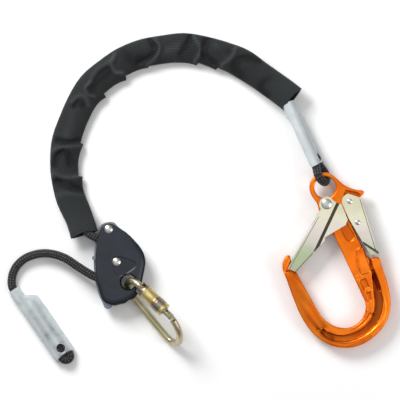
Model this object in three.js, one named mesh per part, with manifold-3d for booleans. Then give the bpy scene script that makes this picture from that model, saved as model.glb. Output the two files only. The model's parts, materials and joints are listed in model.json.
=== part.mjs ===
// Work-positioning lanyard: a 12 mm kernmantle rope in a loose textile sleeve. One end is sewn round the
// eye of an aluminium scaffold hook, and the other runs through a rope adjuster that hangs on a twist-lock
// steel connector. Millimetres, +Z up. The lanyard lies flat. The origin is on the back face of the
// adjuster, between its two rivets, +X runs towards the hook and +Y towards the top of the rope's arc.
import * as THREE from "three";
import { mergeVertices } from "three/addons/utils/BufferGeometryUtils.js";
import Module from "manifold-3d";

const wasm = await Module();
wasm.setup();

// ---------------------------------------------------------------- driving dimensions
const GAP = 0.3; // clearance left between pieces that only touch
const ROPE_R = 6; // 12 mm rope
const SOCKET_R = ROPE_R + 0.5; // hollow end of a rope section, round the ball of the one before it
const FLOOR_Z = -12; // the level everything rests at

const SLEEVE = { width: 38, height: 18, wall: 1.2, endGap: 3.4 };

const ADJUSTER = {
  rearPlate: [0, 3], // bottom and top of each layer
  spacer: [3.3, 15.7],
  frontPlate: [16, 19.5],
  topRivet: [-4.9, 24.9],
  camRivet: [6.3, -20.7],
  hole: { at: [23, -49], r: 10, spacerR: 13, rearR: 12.3, chamfer: 1.6 },
  wrapR: 15.5, // the rope's centreline round the cam
  ropeRoom: 7, // half the width of the rope's channel
};
const ROPE_Z = (ADJUSTER.spacer[0] + ADJUSTER.spacer[1]) / 2;

const HOOK = { thin: 4.5, thick: 9.5, nose: 8, tilt: 25.3 }; // half thicknesses, and degrees from upright
const GATE = { inner: 8, outer: 9.6, tailInner: 6.1, tailOuter: 7.7, pivot: [-7.9, -21.6] };
const LEVER = { inner: 8.3, outer: 9.9, pivot: [23, -32], pin: [20.5, -63.6] };
const HOOK_EYE = [298.2, 83.4, 7.8]; // the rope under the eye lifts it, and the bowl rests on the floor
const HOOK_DIP = 2.65; // degrees the hook slopes down from its eye to its bowl

const BAR_R = 4.9; // the connector's steel bar
const CONNECTOR = {
  at: [17.8, -55.4, FLOOR_Z + BAR_R], // where the back bar's centreline meets the level of the top bend
  heading: -50.3, // degrees, the way the connector hangs in plan
  roll: 65, // degrees, how far its gate side is turned up out of the floor's plane
  gatePivot: [52.5, -71.5],
  nose: [39.5, -13],
};

// ---------------------------------------------------------------- solids
const vec = (p) => new THREE.Vector3(p[0], p[1], p[2] ?? 0);
const flat = (p) => new THREE.Vector2(p[0], p[1]);

// A three.js geometry as a manifold-3d solid.
function solid(geometry) {
  const bare = geometry.clone();
  bare.deleteAttribute("normal");
  bare.deleteAttribute("uv");
  const merged = mergeVertices(bare, 1e-4);
  const made = new wasm.Manifold(
    new wasm.Mesh({
      numProp: 3,
      vertProperties: merged.attributes.position.array,
      triVerts: new Uint32Array(merged.index.array),
    }),
  );
  return made;
}

// A manifold-3d solid as a three.js geometry.
function geometryOf(made) {
  const mesh = made.getMesh();
  return new THREE.BufferGeometry()
    .setAttribute("position", new THREE.BufferAttribute(mesh.vertProperties, 3))
    .setIndex(new THREE.BufferAttribute(mesh.triVerts, 1));
}

const join = (first, ...rest) => rest.reduce((made, next) => made.add(next), first);
const cut = (first, ...rest) => rest.reduce((made, next) => made.subtract(next), first);

// A shape pushed up from z0 to z1. A bevel takes that much off both rims.
function slab(shape, z0, z1, bevel = 0) {
  const geometry = new THREE.ExtrudeGeometry(shape, {
    depth: z1 - z0 - 2 * bevel,
    bevelEnabled: bevel > 0,
    bevelThickness: bevel,
    bevelSize: bevel,
    bevelOffset: -bevel,
    bevelSegments: 1,
    curveSegments: 12,
  });
  return solid(geometry.translate(0, 0, z0 + bevel));
}

const polygon = (points) => new THREE.Shape(points.map(flat));

// Points along an arc, from one angle to another in degrees.
function arcPoints(centre, r, fromDeg, toDeg, count) {
  return Array.from({ length: count }, (_, i) => {
    const a = THREE.MathUtils.degToRad(fromDeg + ((toDeg - fromDeg) * i) / (count - 1));
    return [centre[0] + r * Math.cos(a), centre[1] + r * Math.sin(a)];
  });
}

// A smooth closed outline through a few points.
function smoothOutline(points, perPoint = 1) {
  const curve = new THREE.CatmullRomCurve3(points.map(vec), true, "centripetal");
  return polygon(curve.getPoints(points.length * perPoint).slice(1).map((p) => [p.x, p.y]));
}

// A smooth open outline through a few points, as points to build a longer outline from.
function smoothRun(points, perPoint = 1) {
  const curve = new THREE.CatmullRomCurve3(points.map(vec), false, "centripetal");
  return curve.getPoints((points.length - 1) * perPoint).map((p) => [p.x, p.y]);
}

// A cylinder along Z.
function drum(at, r, z0, z1, sides = 16, topR = r) {
  const geometry = new THREE.CylinderGeometry(topR, r, z1 - z0, sides);
  return solid(geometry.rotateX(Math.PI / 2).translate(at[0], at[1], (z0 + z1) / 2));
}

function ball(at, r, sides = 10) {
  const geometry = new THREE.SphereGeometry(r, sides, Math.round(sides * 0.6));
  return solid(geometry.translate(at.x, at.y, at.z));
}

function box(low, high) {
  const size = vec(high).sub(vec(low));
  const middle = vec(high).add(vec(low)).multiplyScalar(0.5);
  const geometry = new THREE.BoxGeometry(size.x, size.y, size.z);
  return solid(geometry.translate(middle.x, middle.y, middle.z));
}

// A ring or stepped turning about Z from a closed profile of [radius, height] points.
function turned(profile, sides = 24) {
  const points = [...profile, profile[0]].map(flat);
  return solid(new THREE.LatheGeometry(points, sides).rotateX(Math.PI / 2));
}

// A cross-section swept along a curve.
function sweep(curve, shape, steps) {
  return solid(new THREE.ExtrudeGeometry(shape, { extrudePath: curve, steps, curveSegments: 6 }));
}

// A round bar along a curve. Its cross-section has the given number of sides.
function tube(curve, r, steps, sides = 8) {
  const corners = Array.from({ length: sides }, (_, i) => {
    const a = (i / sides) * Math.PI * 2;
    return [r * Math.cos(a), r * Math.sin(a)];
  });
  return sweep(curve, polygon(corners), steps);
}

// A coil about Z, with its first turn at z0.
function coil(at, r, wireR, turns, z0, pitch) {
  const perTurn = 6;
  const points = Array.from({ length: Math.round(turns * perTurn) + 1 }, (_, i) => {
    const a = (i / perTurn) * Math.PI * 2;
    return vec([at[0] + r * Math.cos(a), at[1] + r * Math.sin(a), z0 + (pitch * i) / perTurn]);
  });
  return tube(new THREE.CatmullRomCurve3(points), wireR, points.length - 1, 4);
}

// A rivet along Z: a shank, a domed head on top and a flush or domed head below.
function rivet(at, shankR, headR, z0, z1, domeHeight, flushBelow) {
  const dome = (foot, way) =>
    [0, 0.35, 0.7, 1].map((t) => [headR * Math.cos((t * Math.PI) / 2), foot + way * domeHeight * t]);
  const below = flushBelow
    ? [[0, z0], [headR - 0.8, z0], [shankR, z0 + 1.8]]
    : [...dome(z0, -1).reverse(), [shankR, z0]];
  const above = [[shankR, z1], ...dome(z1, 1)];
  above[above.length - 1][0] = 0;
  below[0][0] = 0;
  const made = turned([...below, ...above], headR > 5 ? 24 : 16);
  return made.translate([at[0], at[1], 0]);
}

// ---------------------------------------------------------------- the scene graph
const lanyard = new THREE.Group();

const FINISH = {
  rope: { color: 0x2b2b2e, roughness: 0.9, metalness: 0 },
  sleeve: { color: 0x33373a, roughness: 0.85, metalness: 0 },
  cover: { color: 0xc8d0d3, roughness: 0.35, metalness: 0 },
  thread: { color: 0x1c1c1e, roughness: 0.8, metalness: 0 },
  darkPlate: { color: 0x353a42, roughness: 0.45, metalness: 0.4 },
  barePlate: { color: 0x9fabb1, roughness: 0.35, metalness: 0.9 },
  steel: { color: 0xc4c3ba, roughness: 0.3, metalness: 1 },
  zinc: { color: 0xb8a877, roughness: 0.3, metalness: 1 },
  paleZinc: { color: 0xd9d6bd, roughness: 0.3, metalness: 1 },
  orange: { color: 0xff7a12, roughness: 0.35, metalness: 0.5 },
};

function place(parent, name, finish, made) {
  const mesh = new THREE.Mesh(geometryOf(made), new THREE.MeshStandardMaterial(FINISH[finish]));
  mesh.name = name;
  parent.add(mesh);
}

// ---------------------------------------------------------------- rope adjuster
const MAIN_MOUTH = vec([-25, 14.2, ROPE_Z]); // where each leg of rope leaves the adjuster and can bend
const TAIL_MOUTH = vec([-17.5, -43.4, ROPE_Z]);

// The rope's way through the adjuster: in, clockwise round the cam, and out again.
function wrapCurve() {
  const [cx, cy] = ADJUSTER.camRivet;
  const bend = arcPoints([cx, cy], ADJUSTER.wrapR, 62, -105, 9).map(([x, y]) => vec([x, y, ROPE_Z]));
  const leadIn = [0, 0.35, 0.7].map((t) => MAIN_MOUTH.clone().lerp(bend[0], t));
  const leadOut = [vec([-8, -41.2, ROPE_Z]), TAIL_MOUTH];
  return new THREE.CatmullRomCurve3([...leadIn, ...bend, ...leadOut], false, "centripetal");
}
const wrap = wrapCurve();

// The channel the rope and cam need inside the adjuster: everything between the rope's two legs and
// a little outside them, open on the left.
function ropeChannel() {
  const { x: cx, y: cy } = wrap.getPointAt(0.5);
  const samples = 18;
  const edge = Array.from({ length: samples + 1 }, (_, i) => {
    const at = wrap.getPointAt(i / samples);
    const way = wrap.getTangentAt(i / samples);
    return [at.x - way.y * ADJUSTER.ropeRoom, at.y + way.x * ADJUSTER.ropeRoom];
  });
  const first = edge[0];
  const last = edge[samples];
  return polygon([[first[0] - 40, first[1] + 18], ...edge, [last[0] - 40, last[1]], [cx - 90, cy]]);
}

const FRONT_OUTLINE = [
  [-16.4, 24.9], [-12.1, 30.6], [-5.8, 33.1], [1.1, 32.1], [10, 26.9], [19.2, 20.6], [31.7, 8.1],
  [40.5, -3.2], [44.8, -13.2], [45.7, -23.2], [43.6, -34], [41.4, -45], [39.8, -54], [35.8, -63.5],
  [29.2, -70.8], [19.2, -75.7], [10.5, -78.6], [0.5, -80.2], [-7.1, -79], [-12.1, -75.3],
  [-15.8, -68.2], [-18.9, -58.2], [-21.4, -48.2], [-22.9, -35.7], [-23.3, -23.2], [-23.1, -10.7],
  [-21.4, 4.3], [-18.9, 16.1],
];
const REAR_OUTLINE = [
  [-18.9, 24.5], [-15, 31.2], [-8.5, 34.2], [-1, 35.2], [4, 33.6], [7.5, 29.4], [19.2, 20.2],
  [31.7, 7.7], [40.3, -3.4], [44.6, -13.3], [45.5, -23.2], [43.4, -34], [41.2, -45], [39.6, -54],
  [35.6, -63.3], [29, -70.5], [19.2, -75.4], [10.5, -78.3], [1.6, -80.4], [-0.8, -84.6], [-5.5, -87],
  [-10.4, -84.6], [-12.6, -78.8], [-17.2, -70], [-20.8, -58.6], [-23.4, -48.2], [-24.8, -35.7],
  [-25.6, -23.2], [-25, -10.7], [-23.2, 4.3], [-21, 15.6],
];
const SPACER_OUTLINE = [
  [-14.6, 25.4], [-11, 29.8], [-5.4, 31.9], [1, 31], [10, 26.4], [19.6, 20.8], [32.2, 8.4],
  [41.3, -3], [45.8, -13], [46.8, -23.2], [44.8, -34.2], [42.6, -45.2], [41, -54.4], [36.8, -64.6],
  [30.6, -72.2], [23, -74.8], [18.6, -78.6], [11, -80.3], [4, -82.2], [-3, -80.6], [-9.6, -77.2],
  [-13.4, -70], [-16.2, -60], [-18.2, -52],
];
const DISH_OUTLINE = [
  [0.2, -16], [0.4, -28.2], [3, -36.5], [10.5, -41], [19.2, -38.2], [26.7, -33.2], [33, -27.8],
  [33.6, -22], [22, -16.5], [9, -13.4],
];
const DISH_DEPTH = 0.9;
const RIVET = { shank: 3.5, head: 6.1, dome: 2.6, clearance: 0.3 };

// The connector's hole through one layer, chamfered at the top face, the bottom face, or neither.
function connectorHole(r, z0, z1, chamferTop, chamferBottom) {
  const { at, chamfer } = ADJUSTER.hole;
  const sides = 36;
  const made = [drum(at, r, z0 - 1, z1 + 1, sides)];
  if (chamferTop) made.push(drum(at, r, z1 - chamfer, z1 + 0.01, sides, r + chamfer));
  if (chamferBottom) made.push(drum(at, r + chamfer, z0 - 0.01, z0 + chamfer, sides, r));
  return join(...made);
}

function frontPlate() {
  const [z0, z1] = ADJUSTER.frontPlate;
  const bore = RIVET.shank + RIVET.clearance;
  return cut(
    slab(smoothOutline(FRONT_OUTLINE, 3), z0, z1, 1.1),
    slab(smoothOutline(DISH_OUTLINE, 3), z1 - DISH_DEPTH, z1 + 1),
    drum(ADJUSTER.topRivet, bore, z0 - 1, z1 + 1),
    drum(ADJUSTER.camRivet, bore, z0 - 1, z1 + 1),
    connectorHole(ADJUSTER.hole.r, z0, z1, true, true),
  );
}

function rearPlate() {
  const [z0, z1] = ADJUSTER.rearPlate;
  const sink = (at) =>
    join(
      drum(at, RIVET.shank + RIVET.clearance, z0 - 1, z1 + 1),
      drum(at, RIVET.head - 0.3, z0 - 0.01, z0 + 2.1, 24, RIVET.shank + RIVET.clearance - 0.1),
    );
  return cut(
    slab(smoothOutline(REAR_OUTLINE, 2), z0, z1, 0.5),
    sink(ADJUSTER.topRivet),
    sink(ADJUSTER.camRivet),
    connectorHole(ADJUSTER.hole.rearR, z0, z1, false, true),
  );
}

function spacer() {
  const [z0, z1] = ADJUSTER.spacer;
  return cut(
    slab(smoothOutline(SPACER_OUTLINE, 2), z0, z1, 0.6),
    slab(ropeChannel(), z0 - 1, z1 + 1),
    drum(ADJUSTER.topRivet, RIVET.shank + RIVET.clearance, z0 - 1, z1 + 1),
    connectorHole(ADJUSTER.hole.spacerR, z0, z1, false, false),
  );
}

// The cam turns on its rivet. Its toothed nose faces the upper leg of rope, and its thumb tab sticks
// out between the two legs.
const CAM = { z0: 4.2, z1: 12.4, hub: 8.2 };
const CAM_OUTLINE = [
  [6.5, -12.4], [-1.2, -9.6], [-6.5, -6], [-10.4, -3.6], [-13.6, -4.6], [-15.4, -9], [-20.5, -11.5],
  [-26.4, -12.6], [-28, -15.2], [-26.8, -18], [-20, -19.5], [-12, -22.5], [-4, -27.4], [3.5, -29],
];
function cam() {
  const { z0, z1, hub } = CAM;
  const teeth = [0, 1, 2, 3].map((i) => {
    const at = [-2.6 - i * 2.6, -6.9 + i * 1.45];
    return drum(at, 0.9, z0 - 1, z1 + 1, 8);
  });
  return cut(
    join(slab(smoothOutline(CAM_OUTLINE, 2), z0, z1, 0.5), drum(ADJUSTER.camRivet, hub, z0, z1, 24)),
    drum(ADJUSTER.camRivet, RIVET.shank + RIVET.clearance, z0 - 1, z1 + 1),
    ...teeth,
  );
}

const adjuster = new THREE.Group();
lanyard.add(adjuster);
place(adjuster, "adjuster_front_plate", "darkPlate", frontPlate());
place(adjuster, "adjuster_rear_plate", "barePlate", rearPlate());
place(adjuster, "adjuster_spacer", "darkPlate", spacer());
for (const [name, at] of [["adjuster_top_rivet", ADJUSTER.topRivet], ["cam_rivet", ADJUSTER.camRivet]]) {
  const seat = name === "cam_rivet" ? ADJUSTER.frontPlate[1] - DISH_DEPTH : ADJUSTER.frontPlate[1];
  const made = rivet(at, RIVET.shank, RIVET.head, 0.1, seat + 0.15, RIVET.dome, true);
  place(adjuster, name, "steel", made);
}
place(adjuster, "cam", "barePlate", cam());
place(adjuster, "cam_spring", "steel", coil(ADJUSTER.camRivet, 5.6, 0.45, 2.2, CAM.z1 + 0.8, 1.05));
place(adjuster, "rope_in_adjuster", "rope",
  join(tube(wrap, ROPE_R, 20), ball(MAIN_MOUTH, ROPE_R), ball(TAIL_MOUTH, ROPE_R)));

// ---------------------------------------------------------------- the sewn eye's place
const LEG = 6.15; // half the spacing of the two legs
const COVER = { wide: 15.6, thick: 7.9, wall: 1.1, round: 4.5, neck: 8.1, step: [14, 26] };
const LEG_SHIFT = -COVER.wide + COVER.neck; // the standing leg's centreline in the neck
const EYE = {
  start: [249.9, 198.7, 4.2], // on the sewn eye's own axis, where it leaves the sleeve
  fold: [298.2, 91, 7.8], // the middle of the rope, inside the hook's eye
  roll: -70, // degrees the sewn eye is turned about its axis
  loopR: 14.6, // half the spacing of the legs where they straddle the hook's eye
};
EYE.length = vec(EYE.start).distanceTo(vec(EYE.fold));

// Stands a group so that its +Y runs along a direction, and turns it about that.
function standAlong(group, from, way, faceRoll) {
  const y = vec(way).normalize();
  const z = vec([0, 0, 1]);
  const x = z.cross(y).normalize();
  const upright = x.clone().cross(y);
  const basis = new THREE.Matrix4().makeBasis(x, y, upright);
  group.quaternion.setFromRotationMatrix(basis);
  group.rotateY(faceRoll);
  group.position.copy(from);
}

const eyeEnd = new THREE.Group();
const eyeWay = vec(EYE.fold).sub(vec(EYE.start)).toArray();
standAlong(eyeEnd, vec(EYE.start), eyeWay, THREE.MathUtils.degToRad(EYE.roll));
lanyard.add(eyeEnd);
eyeEnd.updateMatrixWorld(true);
const EYE_JOINT = eyeEnd.localToWorld(new THREE.Vector3(LEG_SHIFT, 0, 0)); // where the rope bends into it

// ---------------------------------------------------------------- main rope and its sleeve
const FLAT_Z = FLOOR_Z + SLEEVE.height / 2; // the sleeve's centre where it lies on the floor
const ARC = [
  [-60.5, 76, -1], [-67.2, 114.5, FLAT_Z], [-62.4, 152.5, FLAT_Z], [-49, 190.5, FLAT_Z],
  [-32.6, 219.1, FLAT_Z], [-8.6, 243.5, FLAT_Z], [27, 265, FLAT_Z], [65.5, 275.8, FLAT_Z],
  [111.3, 278.2, -2.6], [168.7, 263.3, 1.2],
];
const ROPE_START = [MAIN_MOUTH.toArray(), [-34, 19.8, 9.1], [-41, 29.5, 7.6], [-46.8, 42, 5]];
const ROPE_END = [[207, 240.5, 5.4], [228, 222.5, 8.3], [239.5, 210, 10.2], EYE_JOINT.toArray()];
const SLEEVE_START = [[-38.7, 17, 9], [-41.8, 27.5, 7.8], [-46.6, 41.5, 5]];
const SLEEVE_END = [[206.5, 240.6, 5.4], [231.5, 222.6, 8.4], [253.4, 205.9, 10.9]];
const through = (points) => new THREE.CatmullRomCurve3(points.map(vec), false, "centripetal");
const mainCurve = through([...ROPE_START, ...ARC, ...ROPE_END]);
const MAIN_BENDS = [0, 0.168, 0.352, 0.55, 0.755, 1]; // where along the rope its joints sit

// A stretch of a curve, as a curve of its own.
function stretch(curve, from, to, count = 9) {
  const shares = Array.from({ length: count }, (_, i) => from + ((to - from) * i) / (count - 1));
  const points = shares.map((share) => curve.getPointAt(share));
  return new THREE.CatmullRomCurve3(points);
}

// One stretch of rope: a hollow at its near end takes the ball at the far end of the one before.
function ropeSection(curve, steps) {
  const [near, far] = [curve.getPoint(0), curve.getPoint(1)];
  return cut(join(tube(curve, ROPE_R, steps), ball(far, ROPE_R)), ball(near, SOCKET_R));
}

// The sleeve's flattened cross-section: x runs through its thickness and y across its width.
function sleeveSection(inset) {
  const [a, b] = [SLEEVE.height / 2 - inset, SLEEVE.width / 2 - inset];
  const sides = 12;
  const power = 0.75; // under 1 fills out the corners
  const corners = Array.from({ length: sides }, (_, i) => {
    const t = (i / sides) * Math.PI * 2;
    const rounded = (v, size) => size * Math.sign(v) * Math.abs(v) ** power;
    return [rounded(Math.cos(t), a), rounded(Math.sin(t), b)];
  });
  return polygon(corners);
}

// A length of hollow flattened sleeve, open at both ends.
function sleeveShell(path, steps) {
  const [near, far] = [path.getPointAt(0), path.getPointAt(1)];
  const over = 2; // the hollow runs this far past each end
  const longer = new THREE.CatmullRomCurve3([
    near.clone().addScaledVector(path.getTangentAt(0), -over),
    ...path.getSpacedPoints(steps),
    far.clone().addScaledVector(path.getTangentAt(1), over),
  ]);
  return cut(sweep(path, sleeveSection(0), steps), sweep(longer, sleeveSection(SLEEVE.wall), steps + 2));
}

const mainRope = new THREE.Group();
lanyard.add(mainRope);
const mainLength = mainCurve.getLength();
MAIN_BENDS.slice(1).forEach((to, i) => {
  const from = MAIN_BENDS[i];
  place(mainRope, `rope_section_${i + 1}`, "rope", ropeSection(stretch(mainCurve, from, to, 7), 5));
  const [start, end] = [from + SLEEVE.endGap / mainLength, to - SLEEVE.endGap / mainLength];
  // The first and last sections of sleeve have their own way to their mouths.
  const onRope = (a, b) => stretch(mainCurve, a, b, 4).points.map((p) => p.toArray());
  let path = stretch(mainCurve, start, end, 7);
  if (i === 0) path = through([...SLEEVE_START, ...onRope(0.1, end)]);
  if (to === 1) path = through([...onRope(start, 0.84), ...SLEEVE_END]);
  place(mainRope, `sleeve_section_${i + 1}`, "sleeve", sleeveShell(path, 5));
});

// ---------------------------------------------------------------- sewn terminations
// Both ends are the rope folded back on itself, sewn, and boxed in a soft clear cover. Each is drawn
// along +Y with the standing leg at -X, the folded leg at +X and the fold at the far end. -Z is the
// upper face of one that lies flat.

// The cover's outline: straight down the standing leg's side, with one step out over the folded leg.
function coverOutline(start, length, inset) {
  const left = -COVER.wide + inset;
  const right = COVER.wide - inset;
  const neckRight = left + 2 * (COVER.neck - inset);
  const [a, b] = COVER.step;
  const shape = new THREE.Shape();
  const reach = inset > 0 ? 1 : 0;
  shape.moveTo(left, start - reach);
  shape.lineTo(neckRight, start - reach);
  shape.lineTo(neckRight, a + inset);
  shape.bezierCurveTo(neckRight, b - 4 + inset, right, a + 2 + inset, right, b + inset);
  shape.lineTo(right, length + reach);
  shape.lineTo(left, length + reach);
  return shape;
}

function cover(start, length, holeAt, holeR) {
  const { thick, wall, round } = COVER;
  const outer = slab(coverOutline(start, length, 0), -thick, thick, round);
  const inner = slab(coverOutline(start, length, wall), -thick + wall, thick - wall, round - 0.7);
  const long = slab(coverOutline(start, length, wall + round), -thick + wall, thick - wall);
  return cut(outer, inner, long, drum(holeAt, holeR, -thick - 1, thick + 1, 16));
}

// Bars of thread through both legs, on the upper face.
function stitching(y0, y1, spread) {
  const rows = [-1, 1].map((side) => box([side * spread - 0.8, y0, -6.55], [side * spread + 0.8, y1, -5.2]));
  const count = 4;
  const bars = Array.from({ length: count }, (_, i) => {
    const y = y0 + ((y1 - y0) * (i + 0.5)) / count;
    return box([-spread - 0.8, y - 0.8, -6.55], [spread + 0.8, y + 0.8, -5.2]);
  });
  return join(...rows, ...bars);
}

// ------------ the eye that holds the hook
const eyeRope = [
  [LEG_SHIFT, 0], [LEG_SHIFT, 8], [-LEG, 24], [-LEG, 50], [-LEG, 86], [-8, 94.5],
  ...arcPoints([0, EYE.length - EYE.loopR], EYE.loopR, 170, 10, 7),
  [8, 94.5], [LEG, 86], [LEG, 50], [LEG, 30],
];
const standing = new THREE.Vector3(LEG_SHIFT, 0, 0);
const threadRoom = (y0, y1) => box([-9, y0, -9], [9, y1, -5.1]);
const eyeSolid = cut(tube(through(eyeRope), ROPE_R - 0.05, 34), ball(standing, SOCKET_R), threadRoom(40, 80));
place(eyeEnd, "rope_eye", "rope", eyeSolid);
place(eyeEnd, "eye_stitching", "thread", stitching(42, 78, LEG));
place(eyeEnd, "eye_cover", "cover", cover(7, 92, [1.5, 86], 6));

// ------------ the stopped tail
const TAIL = [
  TAIL_MOUTH.toArray(), [-25.5, -40.8, 9.2], [-36.5, -34.6, 8.2], [-49.6, -26.2, 6.2], [-63, -17.2, 4],
  [-77.5, -11.2, 1.6], [-95.2, -8.8, -0.8], [-112.6, -12, -2.6], [-125.6, -18.8, -3.6],
  [-135.4, -29.8, -4.1], [-140, -42.5, -4.1], [-139.6, -56, -4.1],
];
const tailCurve = new THREE.CatmullRomCurve3(TAIL.map(vec), false, "centripetal");
const TAIL_BENDS = [0, 0.46, 1];
const tail = new THREE.Group();
lanyard.add(tail);
TAIL_BENDS.slice(1).forEach((to, i) => {
  const path = stretch(tailCurve, TAIL_BENDS[i], to, 7);
  place(tail, `tail_rope_${i + 1}`, "rope", ropeSection(path, 8));
});

const TAIL_LENGTH = 118; // of the cover
const tailEnd = new THREE.Group();
standAlong(tailEnd, tailCurve.getPoint(1), [0.565, -0.825, 0], 0);
tailEnd.translateX(-LEG_SHIFT);
lanyard.add(tailEnd);
const foldR = LEG + 0.2;
const foldStart = TAIL_LENGTH + 1.5;
const tailRope = [
  [LEG_SHIFT, 0], [LEG_SHIFT, 8], [-foldR, 22], [-foldR, 70], ...arcPoints([0, foldStart], foldR, 180, 0, 5),
  [foldR, 70], [foldR, 30],
];
const tailSolid = cut(tube(through(tailRope), ROPE_R, 36), ball(standing, SOCKET_R));
place(tailEnd, "tail_fold", "rope", cut(tailSolid, threadRoom(38, 92)));
place(tailEnd, "tail_stitching", "thread", stitching(40, 90, LEG));
place(tailEnd, "tail_cover", "cover", cover(0.8, TAIL_LENGTH, [0, 106], 6.3));

// ---------------------------------------------------------------- scaffold hook
// Drawn upright with the eye's centre at the origin, its back straight down and its mouth at -X.
const hook = new THREE.Group();
hook.position.copy(vec(HOOK_EYE));
hook.rotation.set(THREE.MathUtils.degToRad(HOOK_DIP), 0, THREE.MathUtils.degToRad(HOOK.tilt), "ZXY");
lanyard.add(hook);

const SPINE_INNER = -17.5;
const SPINE_OUTER = 11.5;
const BOWL_INNER = [
  [SPINE_INNER, -168], [-21.2, -178.4], [-29.1, -187], [-39.4, -191.9], [-49.8, -192.7],
  [-60.1, -189.5], [-71.2, -180.9], [-78.6, -169.4], [-82.3, -156.7], [-83.8, -137.5], [-85.4, -112.8],
];
const BOWL_OUTER = [
  [-103.6, -92.5], [-106.3, -119.7], [-107.6, -146.5], [-104.2, -172.2], [-96.4, -190.9],
  [-84, -206.6], [-67.9, -216.6], [-50.1, -220.8], [-30.8, -219.4], [-12.7, -212.8], [1.6, -203.1],
  [11.2, -190.6], [17, -178.4], [21.3, -162], [25.9, -127.8],
];
const innerRun = smoothRun(BOWL_INNER, 3);
const outerRun = smoothRun(BOWL_OUTER, 3);
const SHOULDER = [[26.9, -121.5], [24.5, -119.2], [15.5, -117.4], [SPINE_OUTER, -114]];

function thinBody() {
  const top = smoothRun(
    [
      [30, -34.5], [44.5, -31.8], [46.9, -28.4], [44.6, -25], [40.4, -23.1], [33.1, -17.1],
      [25.5, -8.1], [21, 2.9], [16.2, 12.6], [8.6, 19.6], [-1.5, 21.8], [-11.5, 18.8], [-18.8, 11.6],
      [-21.8, 3], [-21.8, -4.5], [-20.2, -12.3], [-20, -18], [-21.4, -24.4], [-18.6, -34],
      [SPINE_INNER, -48],
    ],
    2,
  );
  const nose = [
    [-86.6, -95], [-87.6, -80], [-86.8, -72], [-85, -66.4], [-86.2, -63.8], [-90, -63.2],
    [-94.1, -65.3], [-99.6, -70.6], [-102.6, -77.2], [-103.4, -84],
  ];
  const shoulder = [...SHOULDER, [SPINE_OUTER, -48], [16, -41.5], [24, -41]];
  return polygon([...top, ...innerRun, ...nose, ...outerRun, ...shoulder]);
}

function thickBody() {
  const mouthSide = [[-87, -93], [-94.5, -84.2]];
  const shoulder = [...SHOULDER, [1.5, -118], [1.5, -136]];
  return polygon([[SPINE_INNER, -136], ...innerRun, ...mouthSide, [-103.4, -82], ...outerRun, ...shoulder]);
}

// The groove between the two rims of the bowl, cut from each face: it leaves a web between them.
const GROOVE_OUTER = [
  [13.4, -131], [12, -150], [8.5, -168], [1, -186.2], [-11.4, -200], [-28, -208.4], [-50, -210.6],
  [-69.4, -206.2], [-85.4, -194.6], [-93.2, -180],
];
const GROOVE_INNER = [
  [-87.2, -176], [-79.4, -188.6], [-66.4, -197.6], [-50, -201], [-32.6, -199.4], [-18, -191.4],
  [-7.2, -178], [-1.6, -163], [4, -147.5], [9, -131.4],
];
const POCKETS = [
  [[-11.5, -138.5], [-3.2, -138.5], [-3.6, -153], [-11.9, -153]],
  [[-12.1, -158.5], [-5.4, -158.5], [-9.6, -171.5], [-15.2, -170]],
];
const NOSE_RIM = [
  [-95.6, -79.6], [-87.9, -71.4], [-86, -66.6], [-86.9, -64.3], [-90, -63.6], [-94.1, -65.6],
  [-99.4, -70.9], [-102.3, -77.3], [-103.2, -84],
];

function hookBody() {
  const { thin, thick, nose } = HOOK;
  const web = 3.4;
  const groove = polygon([...smoothRun(GROOVE_OUTER, 2), ...smoothRun(GROOVE_INNER, 2)]);
  const floorOf = (side, depth) => (side > 0 ? [depth, thick + 2] : [-thick - 2, -depth]);
  const cuts = [1, -1].flatMap((side) => [
    slab(groove, ...floorOf(side, web)),
    ...POCKETS.map((corners) => slab(polygon(corners), ...floorOf(side, thick - 2.6))),
  ]);
  const lug = drum(LEVER.pivot, 9, -thin, thin, 24);
  const pad = polygon([
    [3, -98], [9.5, -97], [SPINE_OUTER, -101], [SPINE_OUTER, -124], [0.5, -124], [1.5, -110],
  ]);
  return cut(
    join(
      slab(thinBody(), -thin, thin, 1.2),
      lug,
      slab(thickBody(), -thick, thick, 1.6),
      slab(polygon(NOSE_RIM), -nose, nose, 1.2),
      slab(pad, -thin - 1.8, thin + 1.8, 0.8),
    ),
    ...cuts,
    drum([0, 0], 15, -thick, thick, 48),
    drum([0, 0], 15, thin - 1.5, thin + 0.01, 48, 16.5),
    drum([0, 0], 16.5, -thin - 0.01, -thin + 1.5, 48, 15),
    drum(GATE.pivot, HOOK_RIVET.shank + 0.3, -thick, thick),
    drum(LEVER.pivot, HOOK_RIVET.small + 0.3, -thick, thick),
  );
}

const HOOK_RIVET = { shank: 3.5, head: 7.5, small: 2.3, smallHead: 3.7 };

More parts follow.
